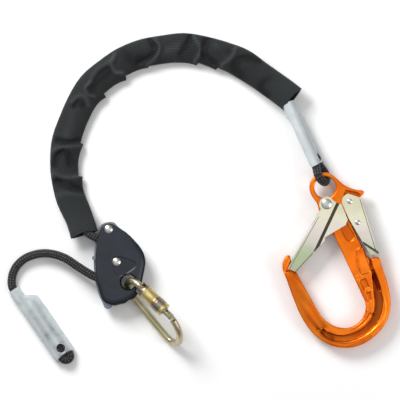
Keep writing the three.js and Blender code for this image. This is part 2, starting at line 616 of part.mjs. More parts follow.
// The gate: a folded channel. Its back web faces out of the mouth, its cheeks straddle the hook's body,
// and each cheek steps in to a tail plate over the body.
function gate() {
  const { inner, outer, tailInner, tailOuter, pivot } = GATE;
  const [stepTop, stepFoot] = [[6, -26.5], [-52.5, -75]]; // the line where each cheek steps in
  const [backTop, tip, tipFoot] = [[-27.6, -31.4], [-95.4, -79.6], [-87.6, -89.3]];
  const cheek = polygon([...arcPoints(pivot, 10.4, 10, 195, 12), backTop, tip, tipFoot, stepFoot, stepTop]);
  const tailPlate = polygon([
    stepTop, [10.9, -30.8], [9.6, -53.6], [3.7, -59.6], [-29.9, -62.8], [-31.9, -66.9], stepFoot,
  ]);
  const strip = (from, to, width) => {
    const along = flat(to).sub(flat(from)).normalize().multiplyScalar(width);
    const side = [along.y, -along.x];
    return polygon([from, to, [to[0] + side[0], to[1] + side[1]], [from[0] + side[0], from[1] + side[1]]]);
  };
  const backEnd = [-83.2, -70.9]; // the back web stops short of the hook's nose
  const sheet = outer - inner;
  const both = (shape, z0, z1) => [slab(shape, z0, z1), slab(shape, -z1, -z0)];
  return cut(
    join(
      slab(strip(backEnd, [-39.6, -39.94], sheet), -outer, outer),
      ...both(cheek, inner, outer),
      ...both(tailPlate, tailInner, tailOuter),
      ...both(strip(stepTop, stepFoot, sheet), tailInner, outer),
    ),
    drum(pivot, HOOK_RIVET.shank + 0.3, -outer - 1, outer + 1),
  );
}

// The release lever on the hook's back: a channel open towards the spine.
function lever() {
  const { inner, outer, pivot, pin } = LEVER;
  const cheek = [
    ...arcPoints(pivot, 11, 75, 185, 10),
    [11.4, -52.8], [15.2, -92], [17.5, -112.4], [28.6, -116], [38.8, -34],
  ];
  const backWeb = [[38.8, -34], [37.2, -34.4], [26.9, -115.4], [28.6, -116]];
  const foot = [[17.5, -110.8], [17.5, -112.4], [28.6, -116], [28.2, -114.2]];
  return cut(
    join(
      slab(polygon(cheek), inner, outer),
      slab(polygon(cheek), -outer, -inner),
      slab(polygon(backWeb), -outer, outer),
      slab(polygon(foot), -outer, outer),
    ),
    drum(pivot, HOOK_RIVET.small + 0.3, -outer - 1, outer + 1),
    drum(pin, HOOK_RIVET.small + 0.3, -outer - 1, outer + 1),
  );
}

place(hook, "hook_body", "orange", hookBody());
place(hook, "hook_gate", "paleZinc", gate());
place(hook, "hook_gate_rivet", "steel",
  rivet(GATE.pivot, HOOK_RIVET.shank, HOOK_RIVET.head, -GATE.outer - GAP, GATE.outer + GAP, 2.4, false));
place(hook, "hook_gate_spring", "steel", coil(GATE.pivot, 6, 0.5, 1.6, HOOK.thin + 0.9, 1.2));
place(hook, "release_lever", "paleZinc", lever());
for (const [name, at] of [["lever_pivot_rivet", LEVER.pivot], ["lever_lock_pin", LEVER.pin]]) {
  const ends = LEVER.outer + GAP;
  place(hook, name, "steel", rivet(at, HOOK_RIVET.small, HOOK_RIVET.smallHead, -ends, ends, 1.4, false));
}
place(hook, "lever_spring", "steel", coil(LEVER.pin, 3.6, 0.5, 5, -2.6, 1.15));

// ---------------------------------------------------------------- twist-lock connector
// Drawn with its back bar down the Y axis from the top bend, and its gate at +X.
const connector = new THREE.Group();
{
  const heading = THREE.MathUtils.degToRad(CONNECTOR.heading);
  const roll = THREE.MathUtils.degToRad(CONNECTOR.roll);
  const down = vec([Math.cos(heading), Math.sin(heading), 0]);
  const rise = Math.cos(roll);
  const across = vec([-Math.sin(heading) * rise, Math.cos(heading) * rise, Math.sin(roll)]);
  const up = down.clone().negate();
  const basis = new THREE.Matrix4().makeBasis(across, up, across.clone().cross(up));
  connector.quaternion.setFromRotationMatrix(basis);
  connector.position.copy(vec(CONNECTOR.at));
}
lanyard.add(connector);

const [PX, PY] = CONNECTOR.gatePivot;
const [NX, NY] = CONNECTOR.nose;
const GATE_LENGTH = Math.hypot(NX - PX, NY - PY);
const GATE_LEAN = Math.atan2(PX - NX, NY - PY); // the gate leans this far towards the back bar
const bodyPath = [
  [NX, NY], [NX - 1.2, NY + 5.2], [33.8, -2.6], [27, 1], [19.5, 2], [12, 0.4], [5.6, -4.2], [1.4, -11],
  [0, -19], [0, -50], [0, -88], [1.6, -98], [7.4, -104.8], [16, -107.4], [28, -106], [39.6, -100], [47.8, -90],
  [PX - 0.4, PY - 8.5],
];
const TANG = { half: 1.9, r: 4.6 };
const LATCH = { tab: 1.3, length: 5.2, pinR: 1.2, pinHalf: 3.3 };

// Points of the gate's own frame, along its axis from the hinge pin to the nose.
function alongGate(made) {
  return made.rotate([0, 0, THREE.MathUtils.radToDeg(GATE_LEAN)]).translate([PX, PY, 0]);
}

function connectorBody() {
  const path = new THREE.CatmullRomCurve3(bodyPath.map(vec), false, "centripetal");
  const tangHead = arcPoints([0, 0], TANG.r, -20, 200, 9);
  const tangShape = polygon([...tangHead, [-TANG.r - 0.2, -9], [TANG.r + 0.2, -9]]);
  const tang = alongGate(slab(tangShape, -TANG.half, TANG.half));
  const tabFoot = GATE_LENGTH - LATCH.length;
  const tab = alongGate(box([-3.4, tabFoot, -LATCH.tab], [3.4, GATE_LENGTH + 2, LATCH.tab]));
  const pinBore = drum([PX, PY], 1.5, -6, 6, 16);
  return cut(join(tube(path, BAR_R, 44, 14), tang, tab), pinBore, alongGate(latchPin(0.15)));
}

// The cross pin in the nose tab, which the gate's claw closes round.
function latchPin(grow) {
  const half = LATCH.pinHalf + grow;
  return drum([0, GATE_LENGTH - LATCH.length + 1.6], LATCH.pinR + grow, -half, half, 12);
}

const RING = { from: 9.1, width: 1, groove: 4.2 }; // the ring that keeps the sleeve on the gate
const GATE_R = 4.9;
const GATE_END = GATE_LENGTH - 0.6; // the gate stops this far along its axis
function connectorGate() {
  const tube = new THREE.CylinderGeometry(GATE_R, GATE_R, GATE_END + 3.6, 20);
  const barrel = solid(tube.translate(0, (GATE_END - 3.6) / 2, 0));
  const fork = box([-8, -6, -TANG.half - 0.4], [8, 8.2, TANG.half + 0.4]);
  const springBore = solid(new THREE.CylinderGeometry(2.4, 2.4, 24, 14).translate(0, 16, 0));
  const slotFoot = GATE_LENGTH - LATCH.length - 0.8;
  const slotHalf = LATCH.tab + 0.35;
  const clawSlot = box([-8, slotFoot, -slotHalf], [8, GATE_LENGTH + 2, slotHalf]);
  const pinAt = GATE_LENGTH - LATCH.length + 1.6;
  const pinWay = box([-1.7, pinAt - 1.7, -LATCH.pinHalf - 0.5], [9, pinAt + 1.7, LATCH.pinHalf + 0.5]);
  const pinBore = drum([0, 0], 1.5, -7, 7, 12);
  const ringRoom = RING.width + 0.4;
  const groove = turned([[RING.groove, 0], [6, 0], [6, ringRoom], [RING.groove, ringRoom]], 20);
  const ringWay = groove.rotate([-90, 0, 0]).translate([0, RING.from - 0.2, 0]);
  return alongGate(cut(barrel, fork, springBore, clawSlot, pinWay, pinBore, ringWay));
}

// The sleeve turns on the gate: a plain ring at each end and a knurled band between.
const LOCK = { from: 10.5, to: GATE_END - 0.4, outer: 9, band: 8.5, bore: 5.2, room: 7.2 };
const lockLength = LOCK.to - LOCK.from;
function lockingSleeve() {
  const front = LOCK.to - lockLength * 0.27;
  const rear = LOCK.from + lockLength * 0.3;
  const profile = [
    [LOCK.bore, LOCK.from], [LOCK.outer - 0.6, LOCK.from], [LOCK.outer, LOCK.from + 0.6], [LOCK.outer, rear],
    [LOCK.band, rear + 0.4], [LOCK.band, front - 0.4], [LOCK.outer, front], [LOCK.outer, LOCK.to - 0.6],
    [LOCK.outer - 0.6, LOCK.to], [LOCK.bore, LOCK.to], [LOCK.bore, LOCK.to - 4], [LOCK.room, LOCK.to - 5],
    [LOCK.room, LOCK.from + 4], [LOCK.bore, LOCK.from + 3],
  ];
  const barrel = turned(profile, 30).rotate([-90, 0, 0]);
  const window = box([-12, LOCK.from - 1, -3.6], [-4, LOCK.from + lockLength * 0.26, 3.6]);
  const mouth = box([3.5, LOCK.to - 6.8, -4.2], [12, LOCK.to + 1, 4.2]); // the nose leaves through it
  const stood = barrel.boundingBox().min[1] < 0 ? barrel.mirror([0, 1, 0]) : barrel;
  return alongGate(cut(stood, window, mouth));
}

function gateCoil(r, wireR, turns, from, length) {
  const made = coil([0, 0], r, wireR, turns, 0, length / turns);
  return alongGate(made.rotate([-90, 0, 0]).translate([0, from, 0]));
}

place(connector, "connector_body", "zinc", connectorBody());
place(connector, "connector_nose_pin", "steel", alongGate(latchPin(0)));
place(connector, "connector_hinge_pin", "steel", drum([PX, PY], 1.3, -GATE_R + 0.2, GATE_R - 0.2, 16));
place(connector, "connector_gate", "zinc", connectorGate());
place(connector, "gate_plunger", "steel",
  alongGate(solid(new THREE.CylinderGeometry(2.1, 2.1, 6, 14).translate(0, 8.6, 0))));
place(connector, "gate_return_spring", "steel", gateCoil(1.6, 0.35, 6, 12.3, 14.5));
place(connector, "locking_sleeve", "zinc", lockingSleeve());
place(connector, "sleeve_spring", "steel", gateCoil(6.2, 0.45, 5, LOCK.from + 5.4, lockLength - 13.6));
place(connector, "sleeve_retaining_ring", "steel",
  alongGate(turned([[RING.groove + 0.3, 0], [6.9, 0], [6.9, RING.width], [RING.groove + 0.3, RING.width]], 20)
    .rotate([-90, 0, 0]).translate([0, RING.from, 0])));

export default lanyard;
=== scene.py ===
import json
import math
from contextlib import contextmanager

import bmesh
import bpy
import numpy as np
from mathutils import Matrix, Vector
from mathutils.geometry import convex_hull_2d


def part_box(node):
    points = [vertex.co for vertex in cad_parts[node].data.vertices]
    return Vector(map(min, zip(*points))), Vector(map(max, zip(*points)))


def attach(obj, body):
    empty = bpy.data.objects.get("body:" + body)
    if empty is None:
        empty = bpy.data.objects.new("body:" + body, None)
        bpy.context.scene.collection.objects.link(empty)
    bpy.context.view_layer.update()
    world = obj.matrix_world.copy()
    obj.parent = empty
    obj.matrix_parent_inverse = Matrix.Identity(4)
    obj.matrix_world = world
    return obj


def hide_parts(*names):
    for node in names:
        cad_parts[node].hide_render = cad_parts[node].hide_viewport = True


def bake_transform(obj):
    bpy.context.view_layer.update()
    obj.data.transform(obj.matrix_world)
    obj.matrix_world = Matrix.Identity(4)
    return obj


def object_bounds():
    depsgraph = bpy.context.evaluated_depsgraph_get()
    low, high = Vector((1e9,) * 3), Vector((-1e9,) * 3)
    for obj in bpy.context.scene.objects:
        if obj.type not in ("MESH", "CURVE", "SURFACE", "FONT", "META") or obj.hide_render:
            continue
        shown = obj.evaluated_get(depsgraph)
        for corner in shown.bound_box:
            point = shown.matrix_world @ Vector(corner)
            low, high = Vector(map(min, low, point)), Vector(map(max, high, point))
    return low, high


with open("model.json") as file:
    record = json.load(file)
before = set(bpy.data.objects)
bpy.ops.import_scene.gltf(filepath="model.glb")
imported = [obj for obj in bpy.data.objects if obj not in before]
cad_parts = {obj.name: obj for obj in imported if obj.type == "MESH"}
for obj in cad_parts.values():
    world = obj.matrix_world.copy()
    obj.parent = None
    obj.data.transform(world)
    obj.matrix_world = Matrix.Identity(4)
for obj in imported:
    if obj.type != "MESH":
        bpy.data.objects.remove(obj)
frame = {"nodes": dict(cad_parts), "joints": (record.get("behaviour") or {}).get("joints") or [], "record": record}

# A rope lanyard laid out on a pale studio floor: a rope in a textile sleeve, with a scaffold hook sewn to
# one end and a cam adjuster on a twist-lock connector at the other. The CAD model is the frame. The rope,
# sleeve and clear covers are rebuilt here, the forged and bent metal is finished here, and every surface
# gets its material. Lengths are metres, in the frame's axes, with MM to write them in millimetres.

MM = 0.001
CAD_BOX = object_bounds()
JOINTS = {joint["name"]: joint for joint in frame["joints"]}
MOUNTS = {mount["name"]: mount for mount in frame["record"]["mounts"]}


def pivot(name):
    return np.array(JOINTS[name]["pos_m"])


def centre(node):
    low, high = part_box(node)
    return np.array((low + high) / 2)


def spread(s, reach, values):
    """Points or directions given at distances reach, read off at the distances s."""
    return np.stack([np.interp(s, reach, values[:, i]) for i in range(3)], axis=-1)


# ---------------------------------------------------------------- curves
class Way:
    """A smooth curve through a few points, measured along its length."""

    DENSITY = 24

    def __init__(self, points, closed=False):
        self.points = self.spline(np.asarray(points, float), closed)
        steps = np.linalg.norm(np.diff(self.points, axis=0), axis=1)
        self.reach = np.concatenate([[0.0], np.cumsum(steps)])
        self.length = self.reach[-1]

    def spline(self, points, closed):
        """Centripetal Catmull-Rom, which neither overshoots nor loops."""
        if closed:
            padded = np.vstack([points[-1], points, points[0], points[1]])
        else:
            padded = np.vstack([2 * points[0] - points[1], points, 2 * points[-1] - points[-2]])
        runs = [self.span(*padded[i:i + 4]) for i in range(len(padded) - 3)]
        return np.vstack([*runs, padded[-2]])

    def span(self, a, b, c, d):
        knots = [0.0]
        for near, far in ((a, b), (b, c), (c, d)):
            knots.append(knots[-1] + max(np.linalg.norm(far - near), 1e-9) ** 0.5)
        k0, k1, k2, k3 = knots
        t = np.linspace(k1, k2, self.DENSITY, endpoint=False)[:, None]

        def mix(p, q, low, high):
            return p * (high - t) / (high - low) + q * (t - low) / (high - low)

        ab, bc, cd = mix(a, b, k0, k1), mix(b, c, k1, k2), mix(c, d, k2, k3)
        return mix(mix(ab, bc, k0, k2), mix(bc, cd, k1, k3), k1, k2)

    def at(self, s):
        """Points at distances s along the curve."""
        return spread(s, self.reach, self.points)

    def closest(self, point):
        """The number of the curve's own point that is nearest to a point."""
        return np.argmin(np.linalg.norm(self.points - point, axis=1))

    def nearest(self, point):
        """How far along the curve comes nearest to a point."""
        return self.reach[self.closest(point)]


def smooth(t):
    """0 to 1, eased at both ends."""
    t = np.clip(t, 0, 1)
    return t * t * (3 - 2 * t)


def unit(v):
    return v / np.linalg.norm(v, axis=-1, keepdims=True)


def power(v, exponent):
    """A sine or cosine made squarer (under 1) or sharper (over 1), with its sign kept."""
    return np.sign(v) * np.abs(v) ** exponent


def fabric(across, along):
    """Each point's place on a fabric, from the places of its columns and of its rows."""
    return np.stack(np.broadcast_arrays(across[None, :], along[:, None]), axis=-1)


def frames(points, up):
    """At each point of a curve: its direction, and an up and a side that turn no more than they must."""
    along = unit(np.gradient(points, axis=0))
    ups = np.empty_like(points)
    last = np.asarray(up, float)
    for i, direction in enumerate(along):
        last = last - (last @ direction) * direction
        last = last / np.linalg.norm(last)
        ups[i] = last
    return along, ups, np.cross(along, ups)


def round_rings(points, ups, sides, radius, angle):
    """Round rings about a curve. The radius is one number, or one for each ring and angle."""
    spokes = ups[:, None] * np.cos(angle)[None, :, None] + sides[:, None] * np.sin(angle)[None, :, None]
    return points[:, None] + radius * spokes


# ---------------------------------------------------------------- meshes
CAP_ANGLE = 65  # degrees: a cap's rim is sharper than this, and a skin's own bends are not
FLAT_ANGLE = 0.6  # degrees: neighbouring faces of a CAD node that bend less than this are one face
WELD = 0.002  # millimetres between the corners of neighbouring faces of a CAD node


@contextmanager
def opened(made):
    """A mesh, open to bmesh's operators."""
    mesh = bmesh.new()
    mesh.from_mesh(made.data)
    yield mesh
    mesh.to_mesh(made.data)
    mesh.free()


def new_object(name, verts, faces, rounded=True):
    mesh = bpy.data.meshes.new(name)
    mesh.from_pydata([tuple(v) for v in verts], [], faces)
    mesh.update()
    if rounded:
        mesh.shade_smooth()
    made = bpy.data.objects.new(name, mesh)
    bpy.context.scene.collection.objects.link(made)
    return made


def loft(name, rings, grain, hollow=False):
    """A skin over closed rings of points. grain holds each point's place on the fabric, in millimetres,
    with one more column than the rings, so that a pattern runs round without a seam. A hollow one closes
    on itself from its last ring to its first, and others are closed by a cap at each end."""
    count, around = rings.shape[:2]
    spans = count if hollow else count - 1
    faces = []
    marks = []
    for i in range(spans):
        k = (i + 1) % count
        for j in range(around):
            n = (j + 1) % around
            faces.append((i * around + j, i * around + n, k * around + n, k * around + j))
            marks.extend([grain[i, j], grain[i, j + 1], grain[k, j + 1], grain[k, j]])
    if not hollow:
        for i, order in ((0, -1), (count - 1, 1)):
            faces.append(tuple((i * around + np.arange(around))[::order]))
            marks.extend(grain[i, :around][::order])
    made = new_object(name, rings.reshape(-1, 3), faces)
    layer = made.data.uv_layers.new(name="grain")
    layer.data.foreach_set("uv", np.asarray(marks, np.float32)[:, :2].ravel())
    outward(made)
    made.data.set_sharp_from_angle(angle=math.radians(CAP_ANGLE))
    return made


def mark(made, name, values):
    """Gives each point of a mesh a value that a material reads by name."""
    layer = made.data.attributes.new(name, "FLOAT", "POINT")
    layer.data.foreach_set("value", np.ascontiguousarray(values, np.float32).ravel())


def outward(made):
    """Turns a closed mesh's faces to point out of it."""
    with opened(made) as mesh:
        bmesh.ops.recalc_face_normals(mesh, faces=mesh.faces)


def prism(name, outline, low, high, place):
    """A flat outline in millimetres, pushed up from low to high and stood where place says."""
    count = len(outline)
    verts = [place @ Vector((x * MM, y * MM, z * MM)) for z in (low, high) for x, y in outline]
    faces = [(i, (i + 1) % count, (i + 1) % count + count, i + count) for i in range(count)]
    faces += [tuple(range(count))[::-1], tuple(range(count, 2 * count))]
    made = new_object(name, verts, faces, False)
    outward(made)
    return made


def modify(made, kind, **settings):
    modifier = made.modifiers.new(kind.lower(), kind)
    for key, value in settings.items():
        setattr(modifier, key, value)
    return modifier


def baked(made):
    """Applies an object's modifiers to its mesh."""
    graph = bpy.context.evaluated_depsgraph_get()
    mesh = bpy.data.meshes.new_from_object(made.evaluated_get(graph))
    made.modifiers.clear()
    old = made.data
    made.data = mesh
    bpy.data.meshes.remove(old)
    return made


def carve(made, tool):
    """Cuts a tool from a mesh and removes the tool. Its material stays on the faces that it makes."""
    modify(made, "BOOLEAN", operation="DIFFERENCE", object=tool, solver="EXACT", material_mode="TRANSFER")
    baked(made)
    bpy.data.objects.remove(tool)


def copy_of(node, name):
    source = frame["nodes"][node]
    made = bpy.data.objects.new(name, source.data.copy())
    made.data.materials.clear()
    bpy.context.scene.collection.objects.link(made)
    with opened(made) as mesh:
        bmesh.ops.remove_doubles(mesh, verts=mesh.verts, dist=WELD * MM)
    return made


def stand_in(made, node, body):
    """Shows a mesh in a CAD node's place, on its body."""
    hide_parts(node)
    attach(made, body)


# ---------------------------------------------------------------- materials
class Look:
    """A procedural material, with short ways to add its nodes."""

    def __init__(self, name, color, roughness, metallic=0.0, **surface):
        self.material = bpy.data.materials.new(name)
        self.material.use_nodes = True
        self.tree = self.material.node_tree
        self.surface = self.tree.nodes["Principled BSDF"]
        self.set("Base Color", color)
        self.set("Roughness", roughness)
        self.set("Metallic", metallic)
        for key, value in surface.items():
            self.set(key.replace("_", " "), value)

    def set(self, socket, value):
        target = self.surface.inputs[socket]
        if isinstance(value, bpy.types.NodeSocket):
            self.tree.links.new(value, target)
        elif isinstance(value, tuple) and len(value) == 3:
            target.default_value = (*value, 1.0)
        else:
            target.default_value = value

    def node(self, kind, inputs=None, **settings):
        made = self.tree.nodes.new("ShaderNode" + kind)
        for key, value in settings.items():
            setattr(made, key, value)
        for key, value in (inputs or {}).items():
            if isinstance(value, bpy.types.NodeSocket):
                self.tree.links.new(value, made.inputs[key])
            else:
                made.inputs[key].default_value = value
        return made

    def place(self):
        """The point's place on the object, in metres."""
        return self.node("TexCoord").outputs["Object"]

    def grain(self):
        """The point's place on the fabric, in millimetres."""
        return self.node("UVMap", uv_map="grain").outputs["UV"]

    def split(self, vector):
        """The X and Y of a place."""
        outputs = self.node("SeparateXYZ", {"Vector": vector}).outputs
        return outputs["X"], outputs["Y"]

    def marked(self, name):
        return self.node("Attribute", attribute_name=name).outputs["Fac"]

    def mixed(self, factor, a, b):
        """Colour a where the factor is 0 and b where it is 1."""
        made = self.node("Mix", data_type="RGBA")
        for socket, value in ((made.inputs[0], factor), (made.inputs[6], a), (made.inputs[7], b)):
            if isinstance(value, bpy.types.NodeSocket):
                self.tree.links.new(value, socket)
            else:
                socket.default_value = (*value, 1.0)
        return made.outputs[2]

    def noise(self, scale, detail=3.0, at=None, roughness=0.5, distortion=0.0):
        inputs = {
            "Vector": at or self.place(), "Scale": scale, "Detail": detail,
            "Roughness": roughness, "Distortion": distortion,
        }
        return self.node("TexNoise", inputs).outputs["Fac"]

    def math(self, operation, a, b=0.0):
        return self.node("Math", {0: a, 1: b}, operation=operation).outputs[0]

    def ramp(self, factor, *stops):
        """A colour ramp: stops are (position, colour)."""
        made = self.node("ValToRGB", {"Fac": factor})
        elements = made.color_ramp.elements
        while len(elements) < len(stops):
            elements.new(0.5)
        for element, (position, color) in zip(elements, stops):
            element.position = position
            element.color = (*color, 1.0)
        return made.outputs["Color"]

    def span(self, factor, low, high):
        """Runs a 0 to 1 factor from low to high."""
        return self.node("MapRange", {"Value": factor, "To Min": low, "To Max": high}).outputs["Result"]

    def stripes(self, value, pitch):
        """Rounded ribs, 0 to 1, one each pitch of value."""
        turns = self.math("MULTIPLY", value, 2 * math.pi / pitch)
        return self.span(self.math("SINE", turns), -0.5, 1.5)

    def bump(self, height, distance, strength, after=None):
        """Bumps of a depth, over any that came before."""
        inputs = {"Height": height, "Distance": distance, "Strength": strength}
        if after:
            inputs["Normal"] = after
        normal = self.node("Bump", inputs).outputs["Normal"]
        self.set("Normal", normal)
        return normal


# The colours that a plating's bloom runs through: places from 0 to 1, and the colour at each.
PALE_BLOOM = ((0.02, (0.5, 0.52, 0.34)), (0.25, (0.5, 0.59, 0.38)), (0.45, (0.74, 0.7, 0.62)),
              (0.6, (0.86, 0.78, 0.72)), (0.8, (0.88, 0.86, 0.66)), (1.0, (0.78, 0.75, 0.55)))
YELLOW_BLOOM = ((0.28, (0.4, 0.35, 0.17)), (0.45, (0.6, 0.56, 0.35)), (0.55, (0.52, 0.43, 0.3)),
                (0.66, (0.5, 0.5, 0.28)), (0.8, (0.64, 0.59, 0.38)))
RING_BLOOM = ((0.3, (0.34, 0.28, 0.15)), (0.42, (0.33, 0.21, 0.2)), (0.52, (0.22, 0.24, 0.17)),
              (0.62, (0.42, 0.29, 0.24)), (0.75, (0.42, 0.36, 0.2)))
SHADOW_BLOOM = ((0.3, (0.07, 0.06, 0.04)), (0.5, (0.1, 0.085, 0.06)), (0.7, (0.13, 0.12, 0.08)))
PALE_SWEEP = (-0.042, 0.066)  # where the pale bloom begins and ends, in metres across the lever's foot


def sleeve_cloth():
    look = Look("sleeve_cloth", (0.03, 0.034, 0.036), 0.8, Sheen_Weight=0.12, Sheen_Roughness=0.45,
                Specular_IOR_Level=0.3)
    look.set("Sheen Tint", (0.55, 0.62, 0.63))
    across, along = look.split(look.grain())
    ribs = look.stripes(across, 2.1)
    picks = look.stripes(along, 1.3)
    weave = look.math("MULTIPLY", ribs, look.span(picks, 0.45, 1.0))
    faded = look.noise(26, 4)
    tone = look.math("ADD", look.math("MULTIPLY", weave, 0.5), look.math("MULTIPLY", faded, 0.5))
    # Painted light and shade: the mesh's shade mark runs the colour from the dark ramp to the lit one.
    lit = look.ramp(
        tone, (0.2, (0.017, 0.02, 0.0215)), (0.5, (0.044, 0.053, 0.055)), (0.85, (0.085, 0.102, 0.104)))
    dark = look.ramp(tone, (0.2, (0.0015, 0.0015, 0.002)), (0.85, (0.006, 0.006, 0.007)))
    look.set("Base Color", look.mixed(look.marked("shade"), dark, lit))
    look.set("Roughness", look.span(faded, 0.62, 0.9))
    fine = look.bump(weave, 0.32 * MM, 0.8)
    look.bump(look.noise(1400, 2), 0.08 * MM, 0.5, fine)
    return look.material


def rope_sheath():
    look = Look("rope_sheath", (0.02, 0.02, 0.022), 0.6, Sheen_Weight=0.1, Specular_IOR_Level=0.35)
    strand = look.math("MULTIPLY", look.marked("braid"), look.span(look.noise(330, 3), 0.5, 1.35))
    across, along = look.split(look.grain())
    yarn = look.stripes(look.math("ADD", across, look.math("MULTIPLY", along, 0.4)), 0.45)
    fuzz = look.noise(900, 3)
    tone = look.math("ADD", look.math("MULTIPLY", strand, 0.7), look.math("MULTIPLY", fuzz, 0.3))
    look.set("Base Color", look.ramp(tone, (0.2, (0.003, 0.003, 0.0035)), (0.45, (0.007, 0.007, 0.008)),
                                     (0.75, (0.2, 0.2, 0.195))))
    look.set("Roughness", look.span(fuzz, 0.45, 0.8))
    look.bump(yarn, 0.06 * MM, 0.7)
    return look.material


def clear_film():
    look = Look("clear_film", (0.74, 0.79, 0.81), 0.32, Specular_IOR_Level=0.55)
    cloud = look.noise(42, 4, distortion=0.6)
    look.set("Base Color", look.ramp(cloud, (0.3, (0.6, 0.67, 0.69)), (0.75, (0.76, 0.8, 0.81))))
    look.set("Roughness", look.span(cloud, 0.2, 0.42))
    contact = look.marked("contact")
    patches = look.math("MULTIPLY", contact, look.span(look.noise(75, 5, distortion=0.8), 0.3, 1.45))
    look.set("Alpha", look.span(patches, 0.72, 0.22))
    fine = look.bump(look.noise(170, 3), 0.5 * MM, 0.5)
    look.bump(look.noise(900, 2), 0.06 * MM, 0.4, fine)
    return look.material


def anodised(name, dark, light, roughness, metallic=0.0):
    look = Look(name, light, roughness, metallic)
    smudge = look.noise(38, 5, roughness=0.65)
    specks = look.noise(2200, 2)
    hollow = look.marked("hollow")
    face = look.ramp(smudge, (0.25, dark), (0.75, light))
    # Painted shade: where a mesh is marked hollow, the colour goes near black and its reflection dims.
    look.set("Base Color", look.mixed(hollow, face, tuple(0.12 * c for c in dark)))
    look.set("Specular IOR Level", look.span(hollow, 0.35, 0.03))
    look.set("Roughness", look.span(smudge, roughness - 0.08, roughness + 0.12))
    look.bump(specks, 0.05 * MM, 0.4)
    return look.material


def brushed(name, color, roughness):
    """Bare metal with fine lines along X."""
    look = Look(name, color, roughness, 1.0)
    stretch = look.node("Mapping", {"Vector": look.place(), "Scale": (40, 900, 900)}).outputs["Vector"]
    lines = look.noise(1.0, 4, stretch)
    dull = look.noise(60, 3)
    shade = tuple(0.72 * c for c in color)
    look.set("Base Color", look.ramp(dull, (0.25, shade), (0.7, color)))
    look.set("Roughness", look.span(lines, roughness - 0.06, roughness + 0.14))
    look.bump(lines, 0.03 * MM, 0.5)
    return look.material


def plated(name, stops, roughness, sweep=None):
    """Zinc plating, with the soft coloured bloom that its passivation leaves. sweep is a pair of heights in
    plan: the bloom runs from its first colour at one to its last at the other."""
    look = Look(name, stops[0][1], roughness, 0.95)
    bloom = look.noise(15, 1.5, distortion=0.3)
    if sweep:
        _, y = look.split(look.place())
        run = look.node("MapRange", {"Value": y, "From Min": sweep[0], "From Max": sweep[1]})
        wander = look.span(look.noise(28, 2, distortion=0.3), -0.3, 0.3)
        bloom = look.math("ADD", run.outputs["Result"], wander)
    look.set("Base Color", look.ramp(bloom, *stops))
    look.set("Roughness", look.span(look.noise(130, 3), roughness - 0.05, roughness + 0.12))
    rolled = look.bump(look.noise(34, 2), 0.9 * MM, 0.5)
    look.bump(look.noise(1500, 2), 0.03 * MM, 0.35, rolled)
    return look.material


def knurled_ring():
    """The locking sleeve: a golden band between two collars with a darker bloom."""
    look = Look("knurled_ring", RING_BLOOM[0][1], 0.26, 0.95)
    bloom = look.noise(60, 2, distortion=0.4)
    collar = look.ramp(bloom, *RING_BLOOM)
    band = look.ramp(bloom, (0.3, (0.5, 0.38, 0.13)), (0.7, (0.68, 0.56, 0.26)))
    look.set("Base Color", look.mixed(look.marked("band"), collar, band))
    look.set("Roughness", look.span(look.noise(200, 3), 0.28, 0.42))
    look.bump(look.noise(1500, 2), 0.03 * MM, 0.35)
    return look.material


def orange_forging():
    look = Look("orange_forging", (1.0, 0.2, 0.01), 0.36, 0.85)
    cloud = look.noise(30, 3)
    bright = look.ramp(cloud, (0.3, (0.84, 0.145, 0.003)), (0.7, (1.0, 0.26, 0.015)))
    # Painted shade: dark red-brown where the mesh is marked hollow.
    look.set("Base Color", look.mixed(look.marked("hollow"), bright, (0.15, 0.013, 0.0008)))
    look.set("Roughness", look.span(look.noise(240, 3), 0.28, 0.48))
    look.bump(look.noise(1700, 2), 0.06 * MM, 0.5)
    return look.material


def sewing_thread():
    look = Look("sewing_thread", (0.015, 0.015, 0.017), 0.7)
    x, _ = look.split(look.place())
    turns = look.stripes(x, 0.6 * MM)
    look.set("Base Color", look.ramp(turns, (0.2, (0.008, 0.008, 0.009)), (0.8, (0.05, 0.05, 0.052))))
    look.bump(turns, 0.15 * MM, 0.8)
    return look.material


# Every surface, by its slot's name, and then the few looks that are worn in another slot.
LOOKS = {
    "sleeve_fabric": sleeve_cloth(),
    "rope": rope_sheath(),
    "clear_cover": clear_film(),
    "dark_plate": anodised("dark_plate", (0.011, 0.014, 0.02), (0.02, 0.025, 0.034), 0.36),
    "bare_plate": anodised("bare_plate", (0.17, 0.2, 0.23), (0.27, 0.31, 0.35), 0.36, 0.6),
    "steel": brushed("steel", (0.72, 0.71, 0.68), 0.26),
    "pale_zinc": plated("pale_zinc", PALE_BLOOM, 0.34, PALE_SWEEP),
    "yellow_zinc": plated("yellow_zinc", YELLOW_BLOOM, 0.36),
    "orange_aluminium": orange_forging(),
    "thread": sewing_thread(),
    # A darker copy of the dark plate: painted shade on the spacer, under the front plate.
    "shaded_edge_layer": anodised("shaded_edge_layer", (0.004, 0.005, 0.007), (0.008, 0.01, 0.013), 0.4),
    "ring_zinc": knurled_ring(),
    "shadow_zinc": plated("shadow_zinc", SHADOW_BLOOM, 0.45),
}


def finish_piece(made, slot, look=None):
    """Gives a mesh its material, which is its slot's own unless a look is named."""
    made.data.materials.clear()
    made.data.materials.append(LOOKS[look or slot])
    return made


# ---------------------------------------------------------------- where the sewn ends stand
LEG_SHIFT = -7.5  # the standing leg's centreline at the neck of a sewn end, in millimetres
LEG = 6.15  # half the spacing of the two legs
TAIL_DIRECTION = (0.565, -0.825, 0.0)
EYE_DIRECTION = (48.3, -107.7, 3.6)  # its length is the sewn eye's own, in millimetres
EYE_LENGTH = float(np.linalg.norm(EYE_DIRECTION))
EYE_ROLL = math.radians(-70)


